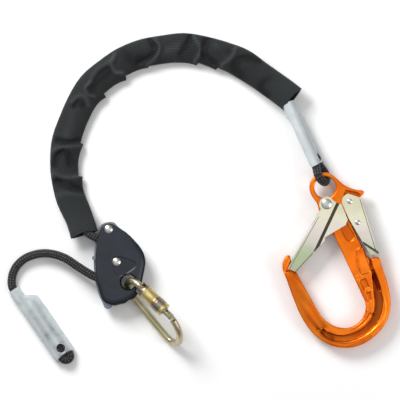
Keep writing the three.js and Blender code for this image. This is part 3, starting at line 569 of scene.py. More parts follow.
def stand(joint, direction, roll=0.0):
    """The place of a sewn end: +Y runs along it from its joint, and -Z is its upper face when unrolled."""
    y = Vector(direction).normalized()
    x = Vector((0, 0, 1)).cross(y).normalized()
    down = x.cross(y)
    across = x * math.cos(roll) - down * math.sin(roll)
    through = x * math.sin(roll) + down * math.cos(roll)
    origin = Vector(pivot(joint)) - across * LEG_SHIFT * MM
    return Matrix.Translation(origin) @ Matrix((across, y, through)).transposed().to_4x4()


TAIL_PLACE = stand("tail_bend_3", TAIL_DIRECTION)
EYE_PLACE = stand("eye_bend", EYE_DIRECTION, EYE_ROLL)


def stood(place, points):
    """Points in millimetres on a sewn end, as points of the frame."""
    return [np.array(place @ (Vector(p).to_3d() * MM)) for p in points]


def arc(middle, radius, start, end, count):
    """Points round an arc, between two angles in degrees."""
    angles = np.radians(np.linspace(start, end, count))
    return [(middle[0] + radius * math.cos(a), middle[1] + radius * math.sin(a)) for a in angles]


# ---------------------------------------------------------------- relief
def gap_to_path(x, y, path):
    """Each point's distance to a path of straight runs, and how far along the path that is, 0 to 1.
    A run may have no length."""
    nearest = np.full(x.shape, np.inf)
    share = np.zeros(x.shape)
    runs = list(zip(path, path[1:]))
    for i, ((ax, ay), (bx, by)) in enumerate(runs):
        dx, dy = bx - ax, by - ay
        squared = max(dx * dx + dy * dy, 1e-9)
        t = np.clip(((x - ax) * dx + (y - ay) * dy) / squared, 0, 1)
        gap = np.hypot(x - ax - t * dx, y - ay - t * dy)
        closer = gap < nearest
        nearest[closer] = gap[closer]
        share[closer] = (i + t[closer]) / len(runs)
    return nearest, share


def inside(x, y, outline):
    """Which points are within an outline."""
    odd = np.zeros(x.shape, bool)
    for (ax, ay), (bx, by) in zip(outline, [*outline[1:], outline[0]]):
        if ay != by:
            odd ^= ((ay > y) != (by > y)) & (x < (bx - ax) * (y - ay) / (by - ay) + ax)
    return odd


def eased(path):
    """A path in plan with its corners rounded off."""
    if len(path) < 3:
        return path
    way = Way([(px, py, 0.0) for px, py in path]).points[::6, :2]
    return [*map(tuple, way), path[-1]]


def strokes_height(x, y, strokes):
    """The height of ridges and grooves along paths. Each fades off across its path."""
    total = np.zeros(x.shape)
    for path, start, end, half in strokes:
        gap, share = gap_to_path(x, y, eased(path))
        total += (start + (end - start) * share) * np.exp(-(gap / half) ** 2)
    return total


def panels_height(x, y, panels):
    """The height of raised or sunk areas. Each has an edge 1.2 mm wide."""
    total = np.zeros(x.shape)
    for outline, height in panels:
        gap, _ = gap_to_path(x, y, [*outline, outline[0]])
        signed = np.where(inside(x, y, outline), gap, -gap)
        total += height * smooth(signed / 1.2 + 0.5)
    return total


def points_of(made, place):
    """A mesh's points and normals in a place's own axes, in millimetres."""
    count = len(made.data.vertices) * 3
    points, normals = np.empty(count), np.empty(count)
    made.data.vertices.foreach_get("co", points)
    made.data.vertices.foreach_get("normal", normals)
    turn = np.array(place.to_3x3())
    return (points.reshape(-1, 3) - np.array(place.translation)) @ turn / MM, normals.reshape(-1, 3) @ turn


def put_points(made, place, local):
    """Moves a mesh's points, given as points_of gives them."""
    turn = np.array(place.to_3x3())
    made.data.vertices.foreach_set("co", ((local * MM) @ turn.T + np.array(place.translation)).ravel())
    made.data.update()


def remeshed(made, voxel, smoothing):
    """A mesh rebuilt from even faces, so that a relief can be put in it, with its edges eased."""
    drop_normals(made)
    modify(made, "REMESH", mode="VOXEL", voxel_size=voxel * MM)
    modify(made, "SMOOTH", factor=0.5, iterations=smoothing)
    return baked(made)


def raise_faces(made, place, relief, within):
    """Raises the upper and lower faces of a mesh by relief(x, y, height above the middle). Steep parts stay
    where they are, apart from those that are within a region."""
    local, normals = points_of(made, place)
    side = np.sign(local[:, 2])
    facing = smooth((normals[:, 2] * side - 0.25) / 0.5)
    x, y, z = local[:, 0], local[:, 1], np.abs(local[:, 2])
    rise = np.maximum(facing, within(x, y, z)) * relief(x, y, z)
    local[:, 2] += side * rise
    put_points(made, place, local)
    return local, rise


# ---------------------------------------------------------------- rope
ROPE_RADIUS = 5.8 * MM
WRAP_RADIUS = 15.5  # of the rope's course round the cam, in millimetres
FLOOR_LEVEL = -12.0
LYING = FLOOR_LEVEL + 9  # the rope's height where its sleeve lies on the floor
# The rope's course between its joints, and the sleeve's two mouths, in millimetres.
TAIL_COURSE = [
    (-139.6, -56, -4.1), (-140, -42.5, -4.1), (-135.4, -29.8, -4.1), (-125.6, -18.8, -3.6),
    (-112.6, -12, -2.6), (-95.2, -8.8, -0.8), (-77.5, -11.2, 1.6), (-63, -17.2, 4),
    (-49.6, -26.2, 6.2), (-36.5, -34.6, 8.2), (-25.5, -40.8, 9.2),
]
ARC_COURSE = [
    (-60.5, 76, -1), (-67.2, 114.5, LYING), (-62.4, 152.5, LYING), (-49, 190.5, LYING),
    (-32.6, 219.1, LYING), (-8.6, 243.5, LYING), (27, 265, LYING), (65.5, 275.8, LYING),
    (111.3, 278.2, -2.6), (168.7, 263.3, 1.2),
]
NEAR_COURSE = [(-34, 19.8, 9.1), (-41, 29.5, 7.6), (-46.8, 42, 5)]
FAR_COURSE = [(207, 240.5, 5.4), (228, 222.5, 8.3), (239.5, 210, 10.2)]
NEAR_MOUTH = [(-38.7, 17, 9), (-41.8, 27.5, 7.8), (-46.6, 41.5, 5)]
FAR_MOUTH = [(206.5, 240.6, 5.4), (231.5, 222.6, 8.4), (253.4, 205.9, 10.9)]


def in_metres(points):
    return [np.array(p) * MM for p in points]


def bends_and_cuts(way, joints):
    """Where a curve bends at each joint, and where it is cut into pieces with one bend each."""
    bends = [way.nearest(pivot(joint)) for joint in joints]
    return bends, [0.0, *((a + b) / 2 for a, b in zip(bends, bends[1:])), way.length]


def bend_piece(made, way, at, reach, nodes):
    """Shows a piece in place of nodes, with its place baked into its mesh. The points a reach each side of its
    bend are found, but nothing is blended.
    """
    before, after = way.at(np.array([at - reach * MM, at + reach * MM]))
    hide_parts(*nodes)
    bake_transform(made)


def rope_course():
    """The whole rope, from its cut end in the tail's cover to its cut end in the eye's cover."""
    fold = 5.75
    turn = 122  # how far along the tail's cover the fold begins
    fold_points = arc((0, turn), fold, 0, 180, 5)
    tail = [(LEG, 33), (LEG, 70), *fold_points, (-fold, 70), (-fold, 22), (LEG_SHIFT, 8)]
    cam = centre("cam_rivet") / MM
    height = centre("rope_in_adjuster")[2] / MM
    bend = [(x, y, height) for x, y in arc(cam[:2], WRAP_RADIUS, -105, 62, 9)]
    mouth = pivot("rope_bend_1")
    lead = [mouth + (np.array(bend[-1]) * MM - mouth) * t for t in (0.7, 0.35)]
    loop = 14.6
    eye = [
        (LEG_SHIFT, 8), (-LEG, 24), (-LEG, 50), (-LEG, 86), (-8, 94.5),
        *arc((0, EYE_LENGTH - loop), loop, 170, 10, 7), (8, 94.5), (LEG, 86), (LEG, 50), (LEG, 30),
    ]
    return [
        *stood(TAIL_PLACE, tail), *in_metres(TAIL_COURSE), pivot("tail_bend_1"),
        *in_metres([(-8, -41.2, height), *bend]), *lead, mouth,
        *in_metres([*NEAR_COURSE, *ARC_COURSE, *FAR_COURSE]), pivot("eye_bend"), *stood(EYE_PLACE, eye),
    ]


STRANDS = 10  # strands of the sheath that run each way round
CELL = 2 * math.pi * ROPE_RADIUS / STRANDS


def braid(turn, along):
    """A sheath whose strands pass over and under each other: its height and its paleness, both 0 to 1."""
    one = turn * STRANDS + along / CELL
    other = turn * STRANDS - along / CELL
    over = (np.floor(one) + np.floor(other)) % 2 == 0
    ridge = np.abs(np.sin(np.pi * one))
    crossing = np.abs(np.sin(np.pi * other))
    top = np.where(over, ridge, crossing)
    under = np.where(over, crossing, ridge)
    pale = np.where(over, 1.0, 0.2) * ridge * crossing
    return top * (0.6 + 0.4 * under), pale


ROPE = Way(rope_course())
# The rope is fine, with its braid, where it shows, and plain inside the sleeve.
STEP = {True: 0.75 * MM, False: 2.5 * MM}
AROUND = {True: 78, False: 26}
BRAID_DEPTH = 0.75 * MM
MID_BRAID = 0.6  # the braid's height at the rope's radius
DOME = 4 * MM  # how quickly a cut end rounds off


def rope_frames():
    """The rope's frame all the way along, so that its braid carries on from piece to piece."""
    count = int(ROPE.length / (1.5 * MM))
    s = np.linspace(0, ROPE.length, count)
    _, ups, _ = frames(ROPE.at(s), (0, 0, 1))
    return s, ups


ROPE_S, ROPE_UPS = rope_frames()


def rope_piece(name, start, end, fine, cut_start, cut_end):
    """A stretch of the rope, domed where it was cut."""
    s = np.linspace(start, end, max(int((end - start) / STEP[fine]), 4))
    points = ROPE.at(s)
    along = unit(np.gradient(points, axis=0))
    ups = spread(s, ROPE_S, ROPE_UPS)
    ups = unit(ups - np.sum(ups * along, axis=1, keepdims=True) * along)
    sides = np.cross(along, ups)
    turn = np.linspace(0, 1, AROUND[fine] + 1)
    height, pale = braid(turn[None, :-1], s[:, None]) if fine else (MID_BRAID, 0.2)
    radius = ROPE_RADIUS + BRAID_DEPTH * (height - MID_BRAID) * np.ones((len(s), AROUND[fine]))
    for is_cut, gap in ((cut_start, s - start), (cut_end, end - s)):
        if is_cut:
            radius *= np.sqrt(np.clip(1 - np.clip(1 - gap / DOME, 0, 0.96) ** 2, 0.05, 1))[:, None]
    rings = round_rings(points, ups, sides, radius[..., None], 2 * np.pi * turn[:-1])
    girth = 2 * math.pi * ROPE_RADIUS / MM
    made = loft(name, rings, fabric(turn * girth, s / MM))
    mark(made, "braid", pale * np.ones(radius.shape))
    return finish_piece(made, "rope")


def build_rope():
    sections = range(1, 6)
    bodies = ["tail_end", "tail_2", "tail_1", "adjuster", *(f"rope_{i}" for i in sections), "eye_end"]
    rope_bends = [f"rope_bend_{i}" for i in sections]
    joints = ["tail_bend_3", "tail_bend_2", "tail_bend_1", *rope_bends, "eye_bend"]
    stands_for = [
        ["tail_fold"], ["tail_rope_2"], ["tail_rope_1"], ["rope_in_adjuster"],
        ["rope_section_1", "rope_section_2"], ["rope_section_3"], ["rope_section_4"], ["rope_section_5"],
        ["rope_eye"],
    ]
    reach = [9, 14, 9, 9, 18, 18, 18, 18, 7]  # half the length that each joint bends, in millimetres
    bends, cuts = bends_and_cuts(ROPE, joints)
    last = len(bends) - 1
    for i, at in enumerate(bends):
        name = f"rope_{bodies[i]}_to_{bodies[i + 1]}"
        made = rope_piece(name, cuts[i], cuts[i + 1], i <= 3 or i == last, i == 0, i == last)
        bend_piece(made, ROPE, at, reach[i], stands_for[i])


# ---------------------------------------------------------------- sleeve
SLEEVE = Way(in_metres([*NEAR_MOUTH, *ARC_COURSE, *FAR_MOUTH]))
# The sleeve's sizes, in millimetres.
SLEEVE_WALL = 1.1
HALF_WIDTH = 19.6
HALF_HEIGHT = 9.0
ROPE_ROOM = 8.0  # it stays this far from the rope's centreline
FOLD_DEPTH = 1.75
# Folds of the sleeve's upper layer, in plan and in millimetres: a path, the height that it stands up by (or
# sinks by, if negative) at its start and end, and its half width.
FOLDS = [
    ([(-84, 102), (-67, 96), (-46, 98)], 1.2, 2.0, 4),
    ([(-76, 92), (-60, 84), (-41, 78)], -2.6, -2.2, 5),
    ([(-77, 69), (-65, 73), (-41, 72)], 1.0, 1.0, 5),
    ([(-80, 114), (-76, 128), (-69, 133), (-62, 129), (-58, 116)], -1.8, -2.4, 4),
    ([(-83, 134), (-69, 139.5), (-44, 141)], 1.4, 1.6, 4),
    ([(-76, 149), (-65, 146), (-42, 149)], -1.6, -1.8, 4),
    ([(-62, 156), (-57, 172), (-52, 190)], 1.0, 0.6, 7),
    ([(-56, 203), (-46, 211), (-37, 209), (-33, 197)], 1.2, 1.4, 3.4),
    ([(-53, 196), (-46, 202), (-40, 197)], -1.4, -1.6, 3.4),
    ([(-30, 230), (-37, 222), (-34, 214), (-24, 210)], 2.0, 1.8, 2.8),
    ([(-28, 219), (-17, 236), (-6, 246)], -1.2, -2.0, 6.5),
    ([(-30, 232), (-20, 248), (-8, 256), (1, 262)], 1.0, 1.2, 4),
    ([(4, 268), (0, 255), (4, 245), (15, 243)], 1.8, 2.2, 3.2),
    ([(20, 270), (28, 262), (40, 262)], -0.8, -1.0, 8),
    ([(60, 292), (67, 279), (62, 266), (49, 256)], 1.8, 2.4, 2.8),
    ([(53, 290), (60, 278), (53, 266), (38, 257)], -1.4, -2.2, 4),
    ([(80, 274), (92, 278)], 1.2, 1.2, 7),
    ([(110, 294), (103, 280), (96, 270)], -2.2, -1.2, 4),
    ([(114, 294), (124, 280), (123, 270), (117, 259)], 1.8, 2.2, 3),
    ([(134, 292), (129, 277), (132, 265), (142, 257)], -2.2, -3.0, 4.5),
    ([(146, 281), (156, 276), (166, 272)], 0.9, -0.8, 4),
    ([(174, 277), (168, 264), (155, 254)], 1.6, 2.0, 3.6),
    ([(206, 260), (189, 264), (177, 260), (173, 252), (181, 238)], -1.4, -2.8, 5),
    ([(222, 236), (212, 229), (210, 219), (218, 212)], -0.6, -1.8, 5.5),
]
# Where the inner edge tucks under what comes after it: the place in plan, and how far it stands out.
TUCKS = [
    ((-44, 99), 5.0), ((-42, 145), 3.6), ((-13, 215), 5.0), ((14, 245), 5.2), ((50, 256), 1.6),
    ((119, 259), 3.6), ((148, 254), 3.0),
]


def side_of(s):
    """How far the inner edge stands out past the smooth curve at distances s, in millimetres."""
    out = np.zeros(s.shape)
    for (x, y), height in TUCKS:
        gap = (SLEEVE.nearest(np.array([x * MM, y * MM, LYING * MM])) - s) / MM
        before = np.exp(-np.clip(gap, 0, None) / 15)
        after = -0.3 * np.exp(np.clip(gap, None, 0) / 9)
        out += height * (after + (before - after) * smooth(gap / 1.6 + 0.5))
    return out


def sleeve_rings(s, inset):
    """Rings of the sleeve at distances s along it, drawn in by inset."""
    around = 112
    points = SLEEVE.at(s)
    ways = unit(np.gradient(SLEEVE.at(SLEEVE.reach), axis=0))
    along = unit(spread(s, SLEEVE.reach, ways))
    ups = unit(np.array([0.0, 0.0, 1.0]) - along * along[:, 2:3])
    inward = np.cross(along, ups)
    angle = 2 * np.pi * np.arange(around) / around + np.pi
    cos, sin = np.cos(angle)[None, :], np.sin(angle)[None, :]
    from_end = np.minimum(s, SLEEVE.length - s)[:, None] / MM
    flat = np.exp(-(from_end / 45) ** 2)  # 1 at the mouths, where the tube is flattest
    length = (s / MM)[:, None]
    swell = 0.5 * np.sin(length / 17) + 0.4 * np.sin(length / 7.3 + 2)
    half_width = HALF_WIDTH + (1 - flat) * (0.4 + 0.5 * swell)
    far = smooth(s / SLEEVE.length * 2 - 0.9)[:, None]  # the far mouth stands open round the eye's cover
    half_height = HALF_HEIGHT * (1 - (0.2 - 0.3 * far) * flat) + 0.4 * (1 - flat) * swell
    y = half_width * power(sin, 0.86 + 0.1 * flat)
    z = half_height * power(cos, 0.74 + 0.3 * flat)
    y = y + side_of(s)[:, None] * np.clip(sin, 0, 1) ** 2
    y = y + 0.5 * np.sin(length / 12.5) * np.clip(-sin, 0, 1) ** 2
    upper = np.clip(cos * 1.6, 0, 1)
    lower = np.clip(-cos * 1.6, 0, 1)
    ripple = 0.35 * np.sin(length / 5.1 + y / 4) * np.sin(y / 6.5 + length / 23) * (1 - flat)
    plan = (points[:, None] + MM * y[..., None] * inward[:, None]) / MM
    folds = strokes_height(plan[..., 0], plan[..., 1], FOLDS)
    z = z + upper * (FOLD_DEPTH * folds + ripple) - lower * 0.5 * (folds[:, ::-1] + ripple)
    # Painted shade: darker in the folds' valleys and lighter on their ridges; also lighter towards the mouths and
    # the outer edge.
    shade = 0.3 + 0.3 * flat + 0.37 * np.clip(folds, -3, 2) * upper + 0.1 * np.clip(-y / HALF_WIDTH, -1, 1)
    z = np.maximum(z, FLOOR_LEVEL + 0.15 - points[:, 2:3] / MM)
    gap = (ROPE.points[[ROPE.closest(point) for point in points]] - points) / MM
    rope_y, rope_z = np.sum(gap * inward, axis=1)[:, None], np.sum(gap * ups, axis=1)[:, None]
    room = np.sqrt(np.clip(ROPE_ROOM ** 2 - (y - rope_y) ** 2, 0, None))
    z = np.where((cos > 0.3) & (room > 0), np.maximum(z, rope_z + room), z)
    draw = 1 - inset / np.maximum(np.hypot(y, z), 2)
    lip = np.exp(-(from_end / 6) ** 2) * np.clip(cos, 0, 1) * (1 - (y / HALF_WIDTH) ** 2)
    toward_middle = np.where(s < SLEEVE.length / 2, 1, -1)[:, None]
    shift = 3.2 * lip * toward_middle  # the upper layer's edge is drawn back in an arc
    rings = points[:, None] + MM * (
        (y * draw)[..., None] * inward[:, None] + (z * draw)[..., None] * ups[:, None]
        + shift[..., None] * along[:, None])
    loop = np.stack([y.mean(0), z.mean(0)])
    girth = np.concatenate([[0], np.cumsum(np.hypot(*np.diff(loop, append=loop[:, :1])))])
    return rings, fabric(girth, s / MM), np.clip(shade, 0.04, 1)


def sleeve_piece(name, start, end):
    """A stretch of the sleeve, with its outside and its inside."""
    s = np.linspace(start, end, int((end - start) / (1.3 * MM)))
    outer, outer_grain, shade = sleeve_rings(s, 0)
    inner, inner_grain, _ = sleeve_rings(s[::-1], SLEEVE_WALL)
    rings = np.concatenate([outer, inner])
    grain = np.concatenate([outer_grain, inner_grain])
    made = loft(name, rings, grain, hollow=True)
    # The inside is painted in shade.
    mark(made, "shade", np.concatenate([shade, np.full(shade.shape, 0.1)]))
    return finish_piece(made, "sleeve_fabric")


def build_sleeve():
    bends, cuts = bends_and_cuts(SLEEVE, [f"rope_bend_{i}" for i in range(2, 6)])
    for i, at in enumerate(bends):
        bodies = f"rope_{i + 1}", f"rope_{i + 2}"
        made = sleeve_piece("sleeve_{}_to_{}".format(*bodies), cuts[i], cuts[i + 1])
        stands_for = ["sleeve_section_1", "sleeve_section_2"] if i == 0 else [f"sleeve_section_{i + 2}"]
        bend_piece(made, SLEEVE, at, 18, stands_for)


# ---------------------------------------------------------------- clear covers and their stitching
# A cover's sizes in millimetres: its left edge, its right edge before and after the step, half its
# thickness and its wall.
COVER = {"left": -15.6, "neck": 0.6, "right": 15.6, "thick": 7.9, "wall": 1.0}


def cover_rings(start, end, step, inset, bulge):
    """Rings of a cover, with one step out on its right where the folded leg begins."""
    around = 72
    y = np.concatenate([np.arange(start, end, 1.5), [end]])
    right = COVER["neck"] + (COVER["right"] - COVER["neck"]) * smooth((y - step[0]) / (step[1] - step[0]))
    middle = (right + COVER["left"]) / 2
    half = (right - COVER["left"]) / 2 - inset
    angle = 2 * np.pi * np.arange(around) / around
    cos, sin = np.cos(angle)[None, :], np.sin(angle)[None, :]
    x = half[:, None] * power(cos, 0.62)
    wide = np.clip((half[:, None] - 9) / 6, 0, 1)
    hug = 1 - 0.08 * wide * np.cos(np.pi * np.clip(x / LEG, -1.4, 1.4) * 0.5) ** 2
    z = (COVER["thick"] - inset) * power(sin, 0.7) * hug
    along = y[:, None] + np.zeros_like(x)
    crinkle = 0.28 * np.sin(along / 6.1 + x / 3.4) * np.sin(along / 15 - x / 5)
    crinkle = crinkle + 0.16 * np.sin(along / 2.7 + x)
    pinch = 1 + 0.012 * np.sin(along / 9 + 1.3)
    mouth = np.exp(-((end - along) / 4) ** 2)
    along = along - bulge * mouth * (1 - (x / 16) ** 2)
    points = np.stack([middle[:, None] + x * pinch, along, z + crinkle * np.sign(z) * np.abs(sin)], axis=-1)
    return points, fabric(np.arange(around + 1) * 1.1, y)


def cover_piece(name, place, start, end, step, hole_at, hole_radius, bulge, seen):
    """A clear film over a sewn end. seen is how far the rope shows through it."""
    outer, outer_grain = cover_rings(start, end, step, 0, bulge)
    inner, inner_grain = cover_rings(start, end, step, COVER["wall"], bulge)
    rings = np.concatenate([outer, inner[::-1]])
    grain = np.concatenate([outer_grain, inner_grain[::-1]])
    made = loft(name, rings * MM, grain, hollow=True)
    touch = np.abs(np.abs(rings[..., 0]) - LEG) / 5.8
    run = np.clip((rings[..., 1] - start) / (end - start), 0, 1)
    mark(made, "contact", seen * np.exp(-touch ** 2) * (0.6 + 0.65 * run ** 2))
    made.data.transform(place)
    carve(made, prism("hole", arc(hole_at, hole_radius, 0, 350, 36), -12, 0, place))
    made.data.shade_smooth()
    return finish_piece(made, "clear_cover")


def thread_piece(name, place, start, end):
    """One thread, sewn to and fro over both legs."""
    pitch = 1.5
    turns = int((end - start) / pitch)
    course = []
    for i in range(turns):
        side = -1 if i % 2 else 1
        y = start + i * pitch
        course += [(side * 9.4, y, -4.6), (side * 6, y + pitch * 0.25, -6.5), (0, y + pitch * 0.5, -6.1)]
    way = Way(stood(place, course))
    s = np.linspace(0, way.length, len(course) * 4)
    points = way.at(s)
    _, ups, sides = frames(points, place.to_3x3() @ Vector((0, 0, -1)))
    around = 8
    thick = 0.55
    rings = round_rings(points, ups, sides, thick * MM, 2 * np.pi * np.arange(around) / around)
    facet = 2 * math.pi * thick / around
    return finish_piece(loft(name, rings, fabric(np.arange(around + 1) * facet, s / MM)), "thread")


def build_sewn_ends():
    tail = cover_piece("tail_cover_film", TAIL_PLACE, 4, 121.5, step=(18, 30), hole_at=(0, 109),
                       hole_radius=6.3, bulge=3.5, seen=1.0)
    eye = cover_piece("eye_cover_film", EYE_PLACE, -5, 92, step=(13, 27), hole_at=(0.6, 82.5),
                      hole_radius=5.6, bulge=1.0, seen=0.5)
    tail_thread = thread_piece("tail_thread", TAIL_PLACE, 38, 92)
    eye_thread = thread_piece("eye_thread", EYE_PLACE, 40, 80)
    for made, node, body in (
        (tail, "tail_cover", "tail_end"), (eye, "eye_cover", "eye_end"),
        (tail_thread, "tail_stitching", "tail_end"), (eye_thread, "eye_stitching", "eye_end"),
    ):
        stand_in(made, node, body)


# ---------------------------------------------------------------- metal
def refined(node, body, slot, bevel=0.35, angle=32, look=None, cuts=()):
    """A CAD node's own shape, with its edges broken and its round faces smooth. Cuts are cut from it first,
    and a cut that has a material leaves it on the faces it makes."""
    made = copy_of(node, node + "_finished")
    if cuts:
        finish_piece(made, slot, look)
        for tool in cuts:
            carve(made, tool)
    flat = math.radians(FLAT_ANGLE)
    with opened(made) as mesh:
        bmesh.ops.dissolve_limit(mesh, angle_limit=flat, verts=mesh.verts, edges=mesh.edges)
    drop_normals(made)
    modify(made, "BEVEL", width=bevel * MM, segments=2, limit_method="ANGLE",
           angle_limit=math.radians(angle))
    baked(made)
    made.data.shade_smooth()
    made.data.set_sharp_from_angle(angle=math.radians(angle + 6))
    modify(made, "WEIGHTED_NORMAL", keep_sharp=True, weight=100)
    baked(made)
    if cuts:
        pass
    else:
        finish_piece(made, slot, look)
    stand_in(made, node, body)


def drop_normals(made):
    if "custom_normal" in made.data.attributes:
        made.data.attributes.remove(made.data.attributes["custom_normal"])


def bar(start, end, width, low, high, look, side=0.0):
    """A cutter along a line of the hook's frame, on both faces. side moves it across the line."""
    along = np.array(end, float) - start
    along /= np.hypot(*along)
    across = np.array([-along[1], along[0]])
    a, b = np.array(start) + across * side, np.array(end) + across * side
    half = across * width / 2
    return both_faces([a - half, b - half, b + half, a + half], low, high, look)


def both_faces(outline, low, high, look):
    """A cutter for each face of the hook, from a height above its middle to another."""
    tools = []
    for bottom, top in ((low, high), (-high, -low)):
        tool = prism("cutter", outline, bottom, top, HOOK_PLACE)
        tool.data.materials.append(look)
        tools.append(tool)
    return tools


def build_gate_and_lever():
    """The hook's gate and release lever, with their steps and grooves on both faces."""
    shadow, plating = LOOKS["shadow_zinc"], LOOKS["pale_zinc"]
    step_top, step_foot = (8.4, -24.5), (-54.0, -76.2)
    back_top, back_tip = (-26.6, -30.7), (-96.6, -80.4)
    gate_cuts = [
        *bar(step_top, step_foot, 4.6, 7.1, 12, shadow, 1.2),
        *bar(back_top, back_tip, 0.7, 9.2, 12, shadow, 2.6),
        *bar((-52, -75.4), (-90, -91), 2.4, 8.9, 12, shadow, -0.4),
    ]
    refined("hook_gate", "hook_gate", "pale_zinc", bevel=0.4, cuts=gate_cuts)
    lever_cuts = [
        *bar((39, -36), (27.9, -114), 0.8, 9.2, 12, shadow, -1.9),
        *both_faces([(13, -92.6), (16.2, -93.4), (29.4, -115), (29, -119), (12, -119)], 8.8, 12, plating),
        *bar((15.2, -92), (29.6, -115.6), 3.2, 8.55, 12, shadow, -0.4),
    ]
    refined("release_lever", "release_lever", "pale_zinc", bevel=0.4, cuts=lever_cuts)


def build_locking_sleeve():
    """The connector's locking sleeve, with a knurled band between its collars."""
    made = remeshed(copy_of("locking_sleeve", "locking_sleeve_knurled"), 0.36, 2)
    joint = JOINTS["locking_sleeve_twist"]
    turn = Vector(joint["axis"]).to_track_quat("Z", "Y").to_matrix().to_4x4()
    place = Matrix.Translation(Vector(joint["pos_m"])) @ turn
    local, normals = points_of(made, place)
    x, y, z = local.T
    radius = np.hypot(x, y)
    low, high = z.min(), z.max()
    share = (z - low) / (high - low)
    band_start, band_end, bore_radius, ribs = 0.38, 0.8, 7.2, 44
    band = smooth((share - band_start) / 0.02) * smooth((band_end - share) / 0.02)
    outer = smooth((radius - bore_radius) / 0.4) * (np.abs(normals[:, 2]) < 0.6)
    knurl = 0.09 * np.cos(ribs * np.arctan2(y, x))
    wider = 0.9 * smooth((0.9 - share) / 0.12)
    rise = outer * (wider + 0.5 * (1 - band) + band * (knurl + 0.2))
    local[:, :2] *= (1 + rise / np.maximum(radius, 1))[:, None]
    put_points(made, place, local)
    mark(made, "band", np.maximum(band, smooth((0.11 - share) / 0.02)))
    made.data.shade_smooth()
    finish_piece(made, "yellow_zinc", "ring_zinc")
    stand_in(made, "locking_sleeve", "locking_sleeve")


def build_front_plate():
    """The adjuster's dark plate, with its rim rolled down on the side away from the rope."""
    node = "adjuster_front_plate"
    low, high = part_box(node)
    flat = [(v.co.x / MM, v.co.y / MM) for v in frame["nodes"][node].data.vertices]
    outline = [flat[i] for i in convex_hull_2d([Vector(p) for p in flat])]
    made = remeshed(copy_of(node, node + "_pressed"), 0.6, 5)
    local, _ = points_of(made, Matrix.Identity(4))
    x, y, z = local.T
    from_rim, _ = gap_to_path(x, y, [*outline, outline[0]])
    rolled = smooth((x - 0.9 * y - 12) / 26)
    top = smooth((z - low.z / MM - 1.0) / 1.5)
    fall = (0.7 + 1.5 * rolled) * (1 - smooth(from_rim / (2.5 + 4.5 * rolled)))
    local[:, 2] -= top * fall
    put_points(made, Matrix.Identity(4), local)
    # Painted shade: near black within the hole's edge, a little darker in the dish, darker along the rolled rim.
    hole = pivot("connector_swing") / MM
    from_hole = np.hypot(x - hole[0], y - hole[1])
    bore = smooth(12.6 - from_hole)  # within the hole's own edge
    dish = smooth((high.z / MM - 0.35 - z) / 0.4) * smooth((from_rim - 4) / 2) * 0.14
    edge = 0.5 * rolled * (1 - smooth(from_rim / 4))
    mark(made, "hollow", np.clip(np.maximum(bore, np.maximum(dish, edge)), 0, 1))
    modify(made, "DECIMATE", ratio=0.6)
    baked(made)
    made.data.shade_smooth()
    finish_piece(made, "dark_plate")
    stand_in(made, node, "adjuster")


def build_metal():
    build_front_plate()
    # The spacer wears painted shade.
    refined("adjuster_spacer", "adjuster", "dark_plate", look="shaded_edge_layer")
    refined("adjuster_rear_plate", "adjuster", "bare_plate")
    refined("cam", "cam", "bare_plate")
    for node in ("adjuster_top_rivet", "cam_rivet"):
        refined(node, "adjuster", "steel", bevel=0.2, angle=40)
    build_gate_and_lever()
    refined("hook_gate_rivet", "hook", "steel", bevel=0.2, angle=40)
    refined("lever_pivot_rivet", "hook", "steel", bevel=0.15, angle=40)
    refined("lever_lock_pin", "release_lever", "steel", bevel=0.15, angle=40)
    refined("connector_body", "connector", "yellow_zinc", bevel=0.3, angle=38)
    refined("connector_gate", "connector_gate", "yellow_zinc", bevel=0.2, angle=38)
    build_locking_sleeve()
    for node in ("cam_spring", "hook_gate_spring", "lever_spring", "connector_nose_pin",
                 "connector_hinge_pin", "gate_plunger", "gate_return_spring", "sleeve_spring",
                 "sleeve_retaining_ring"):
        finish_piece(frame["nodes"][node], "steel")


# ---------------------------------------------------------------- scaffold hook
def hook_place():
    """The hook's own frame: origin at its eye, back straight down -Y, mouth at -X."""
    through = Vector(JOINTS["hook_swing"]["axis"]).normalized()
    across = -Vector(MOUNTS["scaffold_bearing_face"]["axis"])
    back = through.cross(across).normalized()
    turn = Matrix((across, back, through)).transposed().to_4x4()
    return Matrix.Translation(Vector(pivot("hook_swing"))) @ turn


HOOK_PLACE = hook_place()
